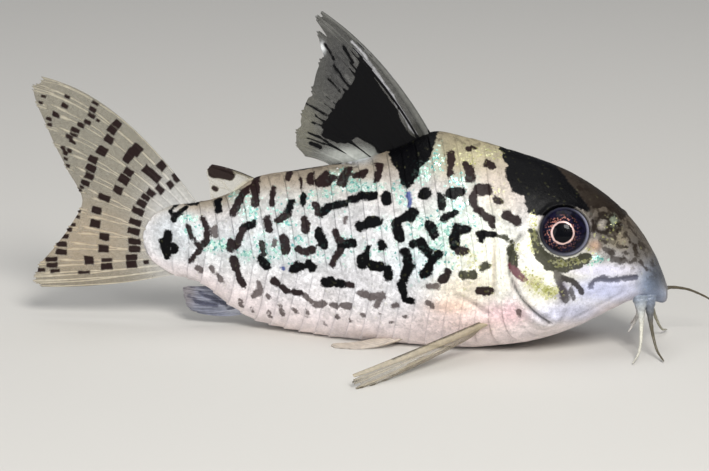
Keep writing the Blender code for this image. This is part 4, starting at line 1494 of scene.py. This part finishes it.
        # Painted shade: the grooves, the mouth's slit and the gap round the eyes are darkened
        paint.colour *= (1 - dark)[:, None]
        right, left = sides < 0, sides > 0
        paint.steady(0.75)
        paint.marks(BODY_MARKS, right)
        paint.marks(BODY_MARKS, left, seed=8)
        paint.steady(0.5)
        paint.marks(HEAD_MARKS, right)
        paint.marks(HEAD_MARKS, left)
        paint.patch(HEAD_PATCHES, xs > 5)
        paint.patch(BODY_PATCHES, xs < 6)
        values = paint.values()
        values["glitter"] = paint.density(GLITTER)
        values["gold"] = paint.density(GOLD)
        dusk = np.clip(1 - turns / 0.35, 0, 1)
        snout = paint.density([(615, 220, 45, 45, 1.0)])
        values["freckles"] = np.clip(0.1 + 0.45 * dusk + 0.6 * snout, 0, 0.85) * (turns < 0.8)
        values["clouds"] = paint.density(CLOUDS) * (1 - paint.density(NOSTRIL_DISCS))
        values["silver"] = 0.34 * ease(0.1, 0.25, turns) * ease(0.8, 0.62, turns) * ease(19.0, 12.0, xs)
        tail_pole = np.array([[self.tail_end - self.tongue - 0.05, 0.0, self.tail_height]])
        nose_pole = np.array([[self.snout_x + 0.05, 0.0, self.nose_height]])
        parts = MeshParts()
        grid = parts.add_points(built)
        parts.add_quads(grid, True, (0.01, 0.01, 0.99, 0.99), flip=True)
        parts.add_fan(grid[0], int(parts.add_points(tail_pole)[0]))
        parts.add_fan(grid[-1], int(parts.add_points(nose_pole)[0]), flip=True)
        last = (x.shape[0] - 1) * self.columns
        for key, value in values.items():
            values[key] = np.concatenate([value, value[:1], value[last : last + 1]])
        return parts.make("body_skin", values)

    def dress(self, skin: bpy.types.Object, finish: SkinFinish) -> None:
        """Give the skin its finish and its place in the frame."""
        skin.data.materials.append(finish.make())
        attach(skin, "root")
        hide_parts("head", "trunk", "tail_stem")


@dataclass
class Eye:
    """One eye: a flattened ball that carries the iris."""

    side: float
    middle: Array
    look: Array
    radius: float = 2.45
    depth: float = 1.75
    rings: int = 70
    spokes: int = 96
    pupil_shift: Place = (-0.22, -0.24)

    def build(self) -> bpy.types.Object:
        """Build the eye and return it."""
        mirror = np.array([1.0, -self.side, 1.0])
        look = self.look
        over = unit(np.cross(np.array([0.0, 0.0, 1.0]), look))
        up = np.cross(look, over)
        a = np.linspace(0, math.pi, self.rings + 1)[1:-1, None]
        b = np.linspace(0, 2 * math.pi, self.spokes, endpoint=False)[None, :]
        p, q = np.sin(a) * np.cos(b), np.sin(a) * np.sin(b)
        bulge = self.depth * np.cos(a) + 0.12 * np.exp(-((np.sin(a) / 0.55) ** 2)) * (np.cos(a) > 0)
        ball = self.radius * (p[..., None] * over + q[..., None] * up) + bulge[..., None] * look
        poles = np.array([look * (self.depth + 0.12), -look * self.depth])
        rim = self.radius * np.hypot(p, q)
        rim = np.where(np.cos(a) > 0, rim, 3.0)
        iris = np.hypot(self.radius * p - self.pupil_shift[0], self.radius * q - self.pupil_shift[1])
        iris = np.where(np.cos(a) > 0, iris, 3.0)
        high = self.radius * (q - p)
        parts = MeshParts()
        grid = parts.add_points((self.middle + ball) * mirror)
        ends = parts.add_points((self.middle + poles) * mirror)
        flip = self.side < 0
        parts.add_quads(grid, True, (0.01, 0.01, 0.99, 0.99), flip=not flip)
        parts.add_fan(grid[0], int(ends[0]), flip=not flip)
        parts.add_fan(grid[-1], int(ends[1]), flip=flip)
        shift = math.hypot(*self.pupil_shift)
        values = {
            "rim": np.concatenate([rim.ravel(), [0.0, 3.0]]),
            "iris": np.concatenate([iris.ravel(), [shift, 3.0]]),
            "high": np.concatenate([high.ravel(), [0.0, 0.0]]),
        }
        return parts.make(f"eyeball_{self.word()}", values)

    def word(self) -> str:
        """Return right or left."""
        return "right" if self.side < 0 else "left"

    def dress(self, ball: bpy.types.Object, material: bpy.types.Material) -> None:
        """Give the eye its finish and its place in the frame."""
        ball.data.materials.append(material)
        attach(ball, "root")
        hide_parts(f"eye_{self.word()}")


class FinKind(Enum):
    """Which of the three fin finishes, dark, grey or clear, a fin takes."""

    DARK = "dark_fin"
    GREY = "grey_fin"
    CLEAR = "clear_fin"


@dataclass
class RayFin:
    """A fin: a thin membrane over branching rays, as two faces joined at the rim."""

    name: str
    kind: FinKind
    roots: tuple[Point, ...]
    tips: tuple[Point, ...]
    bows: tuple[Point, ...]
    face: Point
    rays: int
    spine: bool
    mirror: float = 1.0
    rows: int = 100
    columns_per_ray: int = 14
    membrane: float = 0.09
    ray_thickness: float = 0.27
    spine_thickness: float = 0.6
    ray_half_width: tuple[float, float] = (0.17, 0.05)
    spine_half_width: tuple[float, float] = (0.42, 0.14)
    branches: tuple[float, float] = (0.4, 0.72)
    fray: float = 0.02
    wave: float = 0.2
    tears: tuple[tuple[float, float, float], ...] = ()
    membrane_colour: Colour = (205, 196, 178)
    ray_colour: Colour = (150, 138, 116)
    membrane_film: float = 0.42
    ray_film: float = 0.8
    marks: tuple[Marks, ...] = ()
    dashes: tuple[tuple[float, float, float, float], ...] = ()
    patches: tuple[Patch, ...] = ()
    fingers: float = 0.0
    washes: tuple[Wash, ...] = ()

    def centre_line(self, across: Array, out: Array) -> Array:
        """Return points of the fin's middle surface.

        Args:
            across: 0 at the leading ray to 1 at the trailing one.
            out: 0 at the root to 1 at the tip.

        Returns:
            The points.
        """
        root, tip, bow = (along(p, across) for p in (self.roots, self.tips, self.bows))
        out = out[..., None]
        return root + (tip - root) * out + bow * (4 * out * (1 - out))

    def ridges(self, across: Array, out: Array, pitch: Array) -> tuple[Array, Array]:
        """Return how fully each point lies on a ray, and on the leading spine.

        Args:
            across: place across the fin.
            out: place from root to tip.
            pitch: distance between rays there, in millimetres.

        Returns:
            Two arrays from 0 to 1.
        """
        place = across * (self.rays - 1)
        number = np.round(place)
        offset = place - number
        width = self.ray_half_width[0] + (self.ray_half_width[1] - self.ray_half_width[0]) * out
        first = 0.17 * ease(self.branches[0], self.branches[0] + 0.3, out)
        second = 0.085 * ease(self.branches[1], self.branches[1] + 0.25, out)
        ray = np.zeros_like(place)
        for a in (-1, 1):
            for b in (-1, 1):
                gap = (offset - a * first - b * second) * pitch / np.maximum(width, 0.05)
                ray = np.maximum(ray, np.sqrt(np.clip(1 - gap**2, 0, 1)))
        spine_width = self.spine_half_width[0] + (self.spine_half_width[1] - self.spine_half_width[0]) * out
        lead = np.sqrt(np.clip(1 - (place * pitch / spine_width - 0.6) ** 2, 0, 1))
        lead = np.where(place < 1, lead, 0.0) * self.spine
        return ray, lead

    def build(self) -> bpy.types.Object:
        """Build the fin with its rays and markings, and return it."""
        columns = (self.rays - 1) * self.columns_per_ray + 1
        across = np.broadcast_to(np.linspace(0, 1, columns)[None, :], (self.rows + 1, columns))
        out = np.broadcast_to(np.linspace(0, 1, self.rows + 1)[:, None], across.shape)
        middle = self.centre_line(across, out)
        step = np.linalg.norm(np.gradient(middle, axis=1), axis=-1)
        pitch = step * self.columns_per_ray
        ray, lead = self.ridges(across, out, pitch)
        length = 1 + self.fray * (np.maximum(ray, lead)[-1] - 0.7)
        length += 0.6 * self.fray * grain(middle[-1], 1.6, 21)
        for place, width, depth in self.tears:
            length -= depth * np.exp(-(((across[0] - place) / width) ** 2))
        stretched = middle[0] + (middle - middle[0]) * (1 + (length - 1) * out[:, :1] ** 3)[..., None]
        face = unit(np.array(self.face, float))
        ripple = np.sin(across * 9.0 + out * 2.5) * out**1.5 * self.wave
        stretched = stretched + face * ripple[..., None]
        fade = 1 - 0.55 * out**2
        thick = self.membrane + (self.ray_thickness - self.membrane) * ray * fade
        thick = np.maximum(thick, (self.spine_thickness * fade) * lead)
        half = face * (thick / 2)[..., None]
        faces = [stretched + half, stretched - half]
        sunk = np.maximum(-np.minimum(faces[0][..., 2], faces[1][..., 2]), 0.0)
        for sheet in faces:
            sheet[..., 2] += sunk
        painted = np.concatenate([f.reshape(-1, 3) for f in faces])
        paint = Paint(painted, np.ones(len(painted), bool))
        solid = np.maximum(ray * 0.85, lead).ravel()
        solid = np.concatenate([solid, solid])
        paint.colour = linear(self.membrane_colour) + solid[:, None] * (
            linear(self.ray_colour) - linear(self.membrane_colour)
        )
        film = self.membrane_film + (self.ray_film - self.membrane_film) * solid
        base = np.concatenate([out.ravel(), out.ravel()])
        film = np.maximum(film, 0.95 * ease(0.3, 0.05, base))
        paint.wash(self.washes)
        everywhere = np.ones(len(painted), bool)
        paint.steady(0.3)
        paint.marks(self.marks, everywhere)
        self.lay_dashes(paint, stretched)
        finger = self.fingers * (ray**2 - 0.4).ravel()
        paint.patch(self.patches, everywhere, seed=31, reach=np.concatenate([finger, finger]))
        values = paint.values()
        values["film"] = film
        mirror = np.array([1.0, self.mirror, 1.0])
        parts = MeshParts()
        upper = parts.add_points(faces[0] * mirror)
        lower = parts.add_points(faces[1] * mirror)
        turned = self.mirror < 0
        parts.add_quads(upper, False, (0.01, 0.01, 0.48, 0.97), flip=turned)
        parts.add_quads(lower, False, (0.52, 0.01, 0.99, 0.97), flip=not turned)
        rims = (
            (upper[0], lower[0]), (lower[-1], upper[-1]),
            (lower[:, 0], upper[:, 0]), (upper[:, -1], lower[:, -1]),
        )
        for i, (a, b) in enumerate(rims):
            window = (0.01, 0.975 + 0.005 * i, 0.99, 0.978 + 0.005 * i)
            parts.add_quads(np.stack([a, b], axis=1), False, window, flip=turned)
        return parts.make(self.name, values)

    def lay_dashes(self, paint: Paint, grid: Array) -> None:
        """Lay dark dashes that lie along the rays.

        Args:
            paint: the fin's paint.
            grid: the fin's middle surface, rows by columns.
        """
        drawn = DRAWING.draw(grid)
        for x, y, long, wide in self.dashes:
            gap = ((drawn - (x, y)) ** 2).sum(axis=-1)
            row, column = np.unravel_index(np.argmin(gap), gap.shape)
            low, high = max(row - 3, 0), min(row + 3, self.rows)
            way = unit(grid[high, column] - grid[low, column])
            aside = unit(np.cross(way, self.face))
            offset = paint.bent - grid[row, column]
            where = np.flatnonzero(np.linalg.norm(offset, axis=1) < long / DRAWING.scale + 0.5)
            ends = np.abs(offset[where] @ way) - 0.5 * long / DRAWING.scale
            edges = np.abs(offset[where] @ aside) - 0.55 * wide / DRAWING.scale
            paint.set_marks(np.maximum(ends, edges) - paint.swell[where], where, Ink.BROWN)

    def dress(self, fin: bpy.types.Object, material: bpy.types.Material) -> None:
        """Give the fin its finish and its place in the frame."""
        fin.data.materials.append(material)
        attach(fin, "root")
        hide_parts(self.name.replace("_web", ""))


@dataclass
class Barbel:
    """One feeler: a soft tapering tube."""

    name: str
    path: tuple[Point, ...]
    colours: tuple[Colour, Colour]
    root_radius: float = 0.25
    tip_radius: float = 0.085
    flare: float = 0.6
    sunk: float = 1.0
    steps: int = 70
    sides: int = 16

    def build(self) -> bpy.types.Object:
        """Build the feeler and return it."""
        share = np.linspace(0, 1, self.steps + 1)
        first, second = (np.array(p) for p in self.path[:2])
        start = first + unit(first - second) * self.sunk
        line = along((tuple(start), *self.path), share)
        ahead = unit(np.gradient(line, axis=0))
        aside = unit(np.cross(ahead, np.array([0.0, 1.0, 0.15])))
        other = np.cross(ahead, aside)
        radius = self.tip_radius + (self.root_radius - self.tip_radius) * (1 - share) ** 1.1
        radius += self.flare * np.exp(-((share / 0.26) ** 2))
        radius = radius * (1 + 0.05 * np.sin(share * 70)) * np.sqrt(np.clip((1.02 - share) / 0.05, 0.05, 1))
        a = np.linspace(0, 2 * math.pi, self.sides, endpoint=False)
        ring = np.cos(a)[None, :, None] * aside[:, None] + np.sin(a)[None, :, None] * other[:, None]
        points = line[:, None] + ring * radius[:, None, None]
        points[..., 2] += np.maximum(-points[..., 2].min(axis=1), 0)[:, None]
        parts = MeshParts()
        grid = parts.add_points(points)
        ends = parts.add_points(points[[0, -1]].mean(axis=1))
        parts.add_quads(grid, True, (0.01, 0.01, 0.99, 0.99))
        parts.add_fan(grid[0], int(ends[0]), flip=True)
        parts.add_fan(grid[-1], int(ends[1]))
        first, last = (linear(c) for c in self.colours)
        shade = ease(0.05, 0.5, np.repeat(share, self.sides))[:, None]
        colour = first + shade * (last - first)
        colour = np.concatenate([colour, [first, last]])
        return parts.make(f"feeler_{self.name}", {"ground": colour})

    def dress(self, tube: bpy.types.Object, material: bpy.types.Material) -> None:
        """Give the feeler its finish and its place in the frame."""
        tube.data.materials.append(material)
        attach(tube, "root")
        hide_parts(self.name)


@dataclass
class Studio:
    """Floor, lights and camera."""

    floor_half: float = 1.5
    sensor: float = 36.0

    def build_floor(self) -> None:
        """Lay the floor."""
        h = self.floor_half
        mesh = bpy.data.meshes.new("floor")
        mesh.from_pydata([(-h, -h, 0), (h, -h, 0), (h, h, 0), (-h, h, 0)], [], [(0, 1, 2, 3)])
        floor = bpy.data.objects.new("floor", mesh)
        bpy.context.scene.collection.objects.link(floor)
        mesh.materials.append(FloorFinish().make())

    def add_light(self, name: str, place: Point, size: float, power: float, colour: Colour) -> None:
        """Hang a square soft light that looks at the fish.

        Args:
            name: the light's name.
            place: where it hangs, in metres.
            size: its side in metres.
            power: its power in watts.
            colour: its colour.
        """
        lamp = bpy.data.lights.new(name, "AREA")
        lamp.energy, lamp.size, lamp.color = power, size, colour
        made = bpy.data.objects.new(name, lamp)
        made.location = place
        made.rotation_euler = (Vector((0.0, 0.0, 0.01)) - Vector(place)).to_track_quat("-Z", "Y").to_euler()
        bpy.context.scene.collection.objects.link(made)

    def build_lights(self) -> None:
        """Hang the lights and set the pale surroundings."""
        self.add_light("key", (0.14, -0.30, 0.30), 0.16, 1.9, (1.0, 0.98, 0.95))
        self.add_light("fill", (-0.28, -0.30, 0.12), 0.25, 0.5, (0.95, 0.97, 1.0))
        self.add_light("top", (0.0, 0.05, 0.40), 0.30, 0.5, (1.0, 1.0, 1.0))
        world = bpy.data.worlds.new("surroundings")
        world.use_nodes = True
        shade = world.node_tree.nodes["Background"]
        shade.inputs["Color"].default_value = (0.9, 0.93, 1.0, 1.0)
        shade.inputs["Strength"].default_value = 0.2
        bpy.context.scene.world = world

    def build_camera(self) -> None:
        """Stand the camera at the drawing's eye."""
        lens = bpy.data.cameras.new("camera")
        lens.sensor_width = self.sensor
        lens.lens = self.sensor * DRAWING.distance / (DRAWING.size[0] / DRAWING.scale)
        lens.clip_start, lens.clip_end = 0.01, 10.0
        camera = bpy.data.objects.new("camera", lens)
        camera.location = Vector(DRAWING.eye() * MM)
        camera.rotation_euler = (-Vector(DRAWING.axes()[0])).to_track_quat("-Z", "Y").to_euler()
        bpy.context.scene.collection.objects.link(camera)
        bpy.context.scene.camera = camera
        bpy.context.scene.view_settings.view_transform = "Standard"


UPRIGHT: Point = (0.0, 1.0, 0.0)

BARBELS: dict[str, tuple[Point, ...]] = {
    "lower_barbel_right": (
        (21.15, -2.5, 4.9), (21.3, -3.1, 3.4), (21.35, -3.7, 1.9), (21.2, -4.6, 0.7), (20.8, -6.2, 0.2),
    ),
    "upper_barbel_right": (
        (21.95, -2.0, 4.9), (22.15, -2.5, 3.4), (22.5, -3.0, 1.9), (23.0, -3.7, 0.7), (23.7, -5.0, 0.2),
    ),
    "upper_barbel_left": (
        (22.3, 2.0, 5.1), (23.5, 2.9, 5.4), (25.0, 3.8, 5.1), (26.6, 4.7, 4.3), (28.1, 5.4, 3.3),
    ),
    "lower_barbel_left": (
        (21.3, 2.5, 4.9), (21.8, 3.0, 3.4), (22.3, 3.4, 1.9), (22.8, 4.2, 0.7), (23.2, 5.7, 0.2),
    ),
    "chin_barbel_right": ((20.9, -0.9, 4.3), (20.75, -1.0, 3.5), (20.4, -1.2, 2.7), (19.9, -1.4, 1.9)),
    "chin_barbel_left": ((20.9, 0.9, 4.3), (20.75, 1.0, 3.5), (20.4, 1.2, 2.7), (19.9, 1.4, 1.9)),
}
BARBEL_COLOURS: dict[str, tuple[Colour, Colour]] = {
    "lower_barbel_right": ((140, 150, 164), (206, 204, 190)),
    "upper_barbel_right": ((122, 132, 150), (84, 78, 60)),
    "upper_barbel_left": ((104, 104, 108), (80, 72, 54)),
    "lower_barbel_left": ((130, 138, 150), (150, 146, 128)),
    "chin_barbel_right": ((176, 178, 190), (196, 192, 186)),
    "chin_barbel_left": ((176, 178, 190), (196, 192, 186)),
}

# Dashes on the tail fin's rays: place, length and width
TAIL_DASHES = (
    (159, 189, 9, 6), (150, 193, 9, 6), (146, 197, 9, 5), (142, 203, 10, 6), (138, 211, 13, 6),
    (135, 222, 13, 6), (134, 231, 13, 6), (134, 241, 13, 6), (134, 249, 12, 6), (132, 257, 12, 6),
    (132, 264, 11, 7), (136, 149, 11, 11), (131, 153, 9, 7), (127, 158, 8, 8), (149, 171, 12, 8),
    (155, 178, 10, 8), (162, 166, 9, 8), (176, 177, 10, 7), (170, 184, 8, 6), (128, 172, 10, 7),
    (124, 180, 12, 8), (118, 190, 10, 7), (104, 198, 12, 6), (97, 210, 11, 7), (95, 223, 11, 7),
    (104, 237, 11, 7), (104, 249, 11, 7), (89, 260, 10, 8), (107, 266, 12, 6), (107, 260, 12, 3),
    (118, 124, 8, 6), (113, 130, 9, 7), (109, 139, 9, 7), (102, 151, 10, 8), (93, 160, 10, 7),
    (91, 168, 10, 6), (89, 176, 9, 6), (86, 183, 9, 5), (96, 104, 7, 3), (93, 110, 8, 4), (92, 115, 8, 4),
    (88, 122, 8, 4), (81, 125, 8, 4), (76, 130, 9, 4), (74, 134, 8, 3), (70, 137, 8, 4), (73, 142, 7, 3),
    (67, 97, 6, 3), (65, 106, 7, 4), (56, 113, 7, 3), (57, 116, 7, 3), (49, 119, 6, 3), (50, 124, 5, 3),
    (62, 148, 5, 3), (65, 153, 5, 3), (66, 159, 5, 3), (68, 166, 5, 3), (80, 190, 6, 3), (82, 186, 6, 3),
    (75, 208, 6, 3), (72, 214, 7, 3), (69, 222, 8, 3), (67, 229, 9, 4), (64, 237, 10, 4),
    (62, 244, 11, 5),
    (61, 251, 11, 5), (52, 259, 12, 4), (52, 265, 12, 4), (55, 271, 10, 3), (40, 270, 10, 3),
    (84, 272, 12, 3),
    (98, 120, 4, 3), (147, 262, 6, 4), (70, 150, 5, 3), (43, 96, 5, 3), (40, 104, 5, 3),
)


def midline(*places: Place) -> tuple[Point, ...]:
    """Return points of the fish's middle plane from places along and up it."""
    return tuple((x, 0.0, z) for x, z in places)


def fins() -> list[RayFin]:
    """Return every fin with its sizes and markings."""
    dorsal = RayFin(
        name="dorsal_fin_web",
        kind=FinKind.DARK,
        roots=midline((0.1, 20.4), (-4.5, 18.3), (-9.4, 16.8)),
        tips=midline(
            (-10.9, 32.6), (-11.4, 31.6), (-11.1, 28.6), (-12.2, 24.9),
            (-13.3, 21.7), (-13.6, 19.4), (-12.6, 18.0),
        ),
        bows=midline((0.5, 0.9), (0.1, 0.3), (0.0, 0.2)),
        face=UPRIGHT,
        rays=9,
        spine=True,
        rows=130,
        membrane_colour=(62, 62, 58),
        ray_colour=(104, 104, 100),
        membrane_film=0.66,
        ray_film=0.86,
        ray_thickness=0.2,
        fray=0.03,
        fingers=9.0,
        tears=((0.19, 0.02, 0.1), (0.33, 0.015, 0.03), (0.52, 0.015, 0.03), (0.7, 0.02, 0.03)),
        patches=(
            Patch(Ink.BLACK, (
                (440, 142), (414, 132), (404, 113), (391, 92), (378, 73), (364, 53), (358, 48), (354, 60),
                (350, 76), (342, 88), (333, 98), (330, 106), (325, 110), (322, 118), (317, 122), (319, 130),
                (313, 135), (322, 142), (336, 149), (346, 148), (357, 143), (372, 152), (392, 172),
                (436, 170),
            ), 1.4),
        ),
        marks=(
            Marks(Ink.BLACK, (
                (1.6, (352, 62), (342, 46)), (1.5, (346, 84), (334, 66)), (1.4, (340, 92), (328, 78)),
                (2.4, (311, 143), (320, 147)), (1.2, (334, 60), (324, 44)), (1.3, (330, 116), (306, 104)),
            )),
            Marks(Ink.ASH, (
                (0.8, (346, 76), (358, 92), (368, 106)), (0.7, (330, 100), (344, 112)),
                (0.7, (322, 112), (338, 124)), (0.7, (316, 126), (334, 134)), (0.6, (352, 56), (366, 78)),
            )),
            Marks(Ink.PALE, (
                (0.8, (413, 132), (403, 113), (390, 92), (377, 73), (363, 53), (352, 42)),
                (0.5, (432, 132), (420, 115), (407, 96), (390, 74), (373, 54), (360, 38)),
            )),
        ),
        washes=(
            Wash((340, 70), (16, 34), (36, 36, 38), 0.85),
            Wash((304, 128), (14, 32), (112, 110, 96), 0.8),
            Wash((322, 48), (4, 6), (225, 228, 230), 1.0),
            Wash((350, 155), (26, 8), (186, 190, 184), 0.9),
        ),
    )
    caudal = RayFin(
        name="caudal_fin_web",
        kind=FinKind.CLEAR,
        roots=midline((-23.3, 12.1), (-25.3, 8.8), (-24.4, 5.6)),
        tips=midline(
            (-39.4, 25.0), (-40.6, 23.8), (-39.5, 20.9), (-38.4, 18.4),
            (-37.1, 15.5), (-35.7, 12.4), (-37.1, 9.8), (-38.8, 7.4),
            (-40.6, 5.0), (-40.9, 3.9), (-40.0, 3.2),
        ),
        bows=midline((0.0, 2.5), (0.0, 0.3), (0.0, -0.5)),
        face=UPRIGHT,
        rays=14,
        spine=False,
        rows=140,
        membrane_colour=(130, 122, 102),
        ray_colour=(208, 200, 180),
        membrane_film=0.5,
        ray_film=0.76,
        ray_thickness=0.2,
        ray_half_width=(0.13, 0.05),
        fray=0.02,
        wave=0.35,
        dashes=TAIL_DASHES,
        washes=(
            Wash((176, 228), (36, 60), (202, 202, 200), 1.0),
            Wash((100, 120), (70, 60), (120, 118, 100), 0.35),
            Wash((80, 240), (60, 40), (206, 172, 126), 0.3),
        ),
    )
    anal = RayFin(
        name="anal_fin_web",
        kind=FinKind.GREY,
        roots=midline((-17.6, 1.9), (-19.8, 2.9), (-22.0, 4.2)),
        tips=midline((-23.6, 1.15), (-24.7, 1.7), (-25.2, 2.9), (-25.3, 3.7), (-24.7, 4.0)),
        bows=midline((0.0, -0.5), (0.0, -0.2), (0.0, -0.1)),
        face=UPRIGHT,
        rays=7,
        spine=False,
        rows=60,
        columns_per_ray=12,
        membrane_colour=(118, 122, 138),
        ray_colour=(150, 152, 166),
        membrane_film=0.72,
        ray_film=0.9,
        wave=0.12,
        marks=(
            Marks(Ink.SLATE, (
                (2.2, (232, 297), (222, 290), (208, 284)), (2.0, (226, 304), (212, 298), (200, 292)),
                (1.8, (216, 306), (200, 302), (188, 296)), (1.8, (204, 282), (192, 276)),
                (1.5, (238, 306), (228, 308)),
            )),
        ),
        washes=(
            Wash((240, 308), (16, 8), (206, 210, 222), 0.8),
            Wash((186, 292), (10, 20), (150, 138, 130), 0.5),
        ),
    )
    adipose = RayFin(
        name="adipose_fin_web",
        kind=FinKind.GREY,
        roots=midline((-17.3, 15.2), (-19.5, 13.6), (-21.9, 12.6)),
        tips=midline((-22.1, 16.7), (-22.7, 16.0), (-22.4, 14.6), (-22.3, 13.3)),
        bows=midline((0.0, 0.2), (0.0, 0.1), (0.0, 0.0)),
        face=UPRIGHT,
        rays=3,
        spine=True,
        rows=60,
        columns_per_ray=24,
        branches=(0.3, 0.6),
        ray_thickness=0.14,
        spine_half_width=(0.4, 0.22),
        membrane_colour=(206, 200, 178),
        ray_colour=(176, 168, 146),
        membrane_film=0.14,
        ray_film=0.3,
        wave=0.05,
        marks=(
            Marks(Ink.BROWN, (
                (6.0, (215, 172), (229, 174)), (3.6, (211, 168), (222, 168)),
                (2.4, (252, 176), (240, 171), (230, 168)),
            )),
            Marks(Ink.BROWN, ((2.4, (213, 188), (216, 190)),)),
        ),
    )
    made = [dorsal, caudal, anal, adipose]
    for word, mirror in (("right", 1.0), ("left", -1.0)):
        made.append(
            RayFin(
                name=f"pectoral_fin_{word}_web",
                kind=FinKind.CLEAR,
                roots=((7.2, -5.6, 3.9), (6.5, -5.5, 3.2), (5.7, -5.3, 2.4)),
                tips=(
                    (-4.3, -18.0, 1.5), (-4.4, -18.1, 0.7), (-3.9, -18.0, 0.0), (-3.0, -17.0, 0.0),
                    (-2.3, -15.4, 0.0), (-1.7, -13.6, 0.0), (-1.1, -11.7, 0.0), (-0.5, -9.7, 0.0),
                    (0.3, -7.8, 0.1),
                ),
                bows=((0.2, 0.0, 0.0), (0.1, 0.0, -0.3), (0.1, -0.1, -0.3)),
                face=(0.62, -0.42, -0.55),
                rays=9,
                spine=True,
                mirror=mirror,
                rows=110,
                spine_thickness=0.65,
                spine_half_width=(0.5, 0.18),
                wave=0.1,
                fray=0.05,
                ray_thickness=0.15,
                ray_half_width=(0.12, 0.04),
                membrane_colour=(160, 152, 136),
                ray_colour=(186, 174, 148),
                membrane_film=0.34,
                ray_film=0.62,
                marks=(
                    Marks(Ink.SMOKE, ((1.6, (482, 319), (465, 326), (440, 337), (415, 345), (390, 350)),)),
                ),
            )
        )
        made.append(
            RayFin(
                name=f"pelvic_fin_{word}_web",
                kind=FinKind.CLEAR,
                roots=((-1.4, -4.0, 1.2), (-2.4, -3.8, 1.1), (-3.4, -3.6, 1.0)),
                tips=(
                    (-7.0, -5.9, 0.1), (-8.4, -5.8, 0.0), (-9.1, -5.2, 0.0), (-8.9, -4.6, 0.0),
                    (-7.8, -4.2, 0.0),
                ),
                bows=((0.2, -0.3, -0.2), (0.0, -0.2, -0.2), (0.0, -0.1, -0.1)),
                face=(0.0, 0.0, -1.0),
                rays=7,
                spine=False,
                mirror=mirror,
                rows=60,
                columns_per_ray=10,
                wave=0.05,
                membrane_colour=(224, 214, 204),
                ray_colour=(200, 188, 172),
                membrane_film=0.45,
            )
        )
    return made


def feelers() -> list[Barbel]:
    """Return every feeler, the one that reaches forward on the far side thinner."""
    made = [Barbel(name, path, BARBEL_COLOURS[name]) for name, path in BARBELS.items()]
    for barbel in made:
        if barbel.name == "upper_barbel_left":
            barbel.root_radius, barbel.flare = 0.2, 0.3
    return made


def main() -> None:
    """Build and dress every piece."""
    logging.basicConfig(level=logging.INFO, format="%(message)s")
    studio = Studio()
    studio.build_camera()
    studio.build_floor()
    studio.build_lights()
    near_feelers = ("lower_barbel_right", "upper_barbel_right")
    body = BodySkin(BodyShape(), barbel_roots=tuple(BARBELS[name][0] for name in near_feelers))
    skin = body.build()
    body.dress(skin, SkinFinish())
    LOG.info("skin: %d faces", len(skin.data.polygons))
    middle, look = body.eye_axis()
    eye_material = EyeFinish().make()
    for side in (-1.0, 1.0):
        eye = Eye(side, middle, look)
        ball = eye.build()
        eye.dress(ball, eye_material)
        LOG.info("%s: %d faces", ball.name, len(ball.data.polygons))
    materials = {kind: FinFinish(kind.value).make() for kind in FinKind}
    for fin in fins():
        made = fin.build()
        fin.dress(made, materials[fin.kind])
        LOG.info("%s: %d faces", made.name, len(made.data.polygons))
    barbel_material = BarbelFinish().make()
    for barbel in feelers():
        tube = barbel.build()
        barbel.dress(tube, barbel_material)
        LOG.info("%s: %d faces", tube.name, len(tube.data.polygons))


if __name__ == "__main__":
    main()
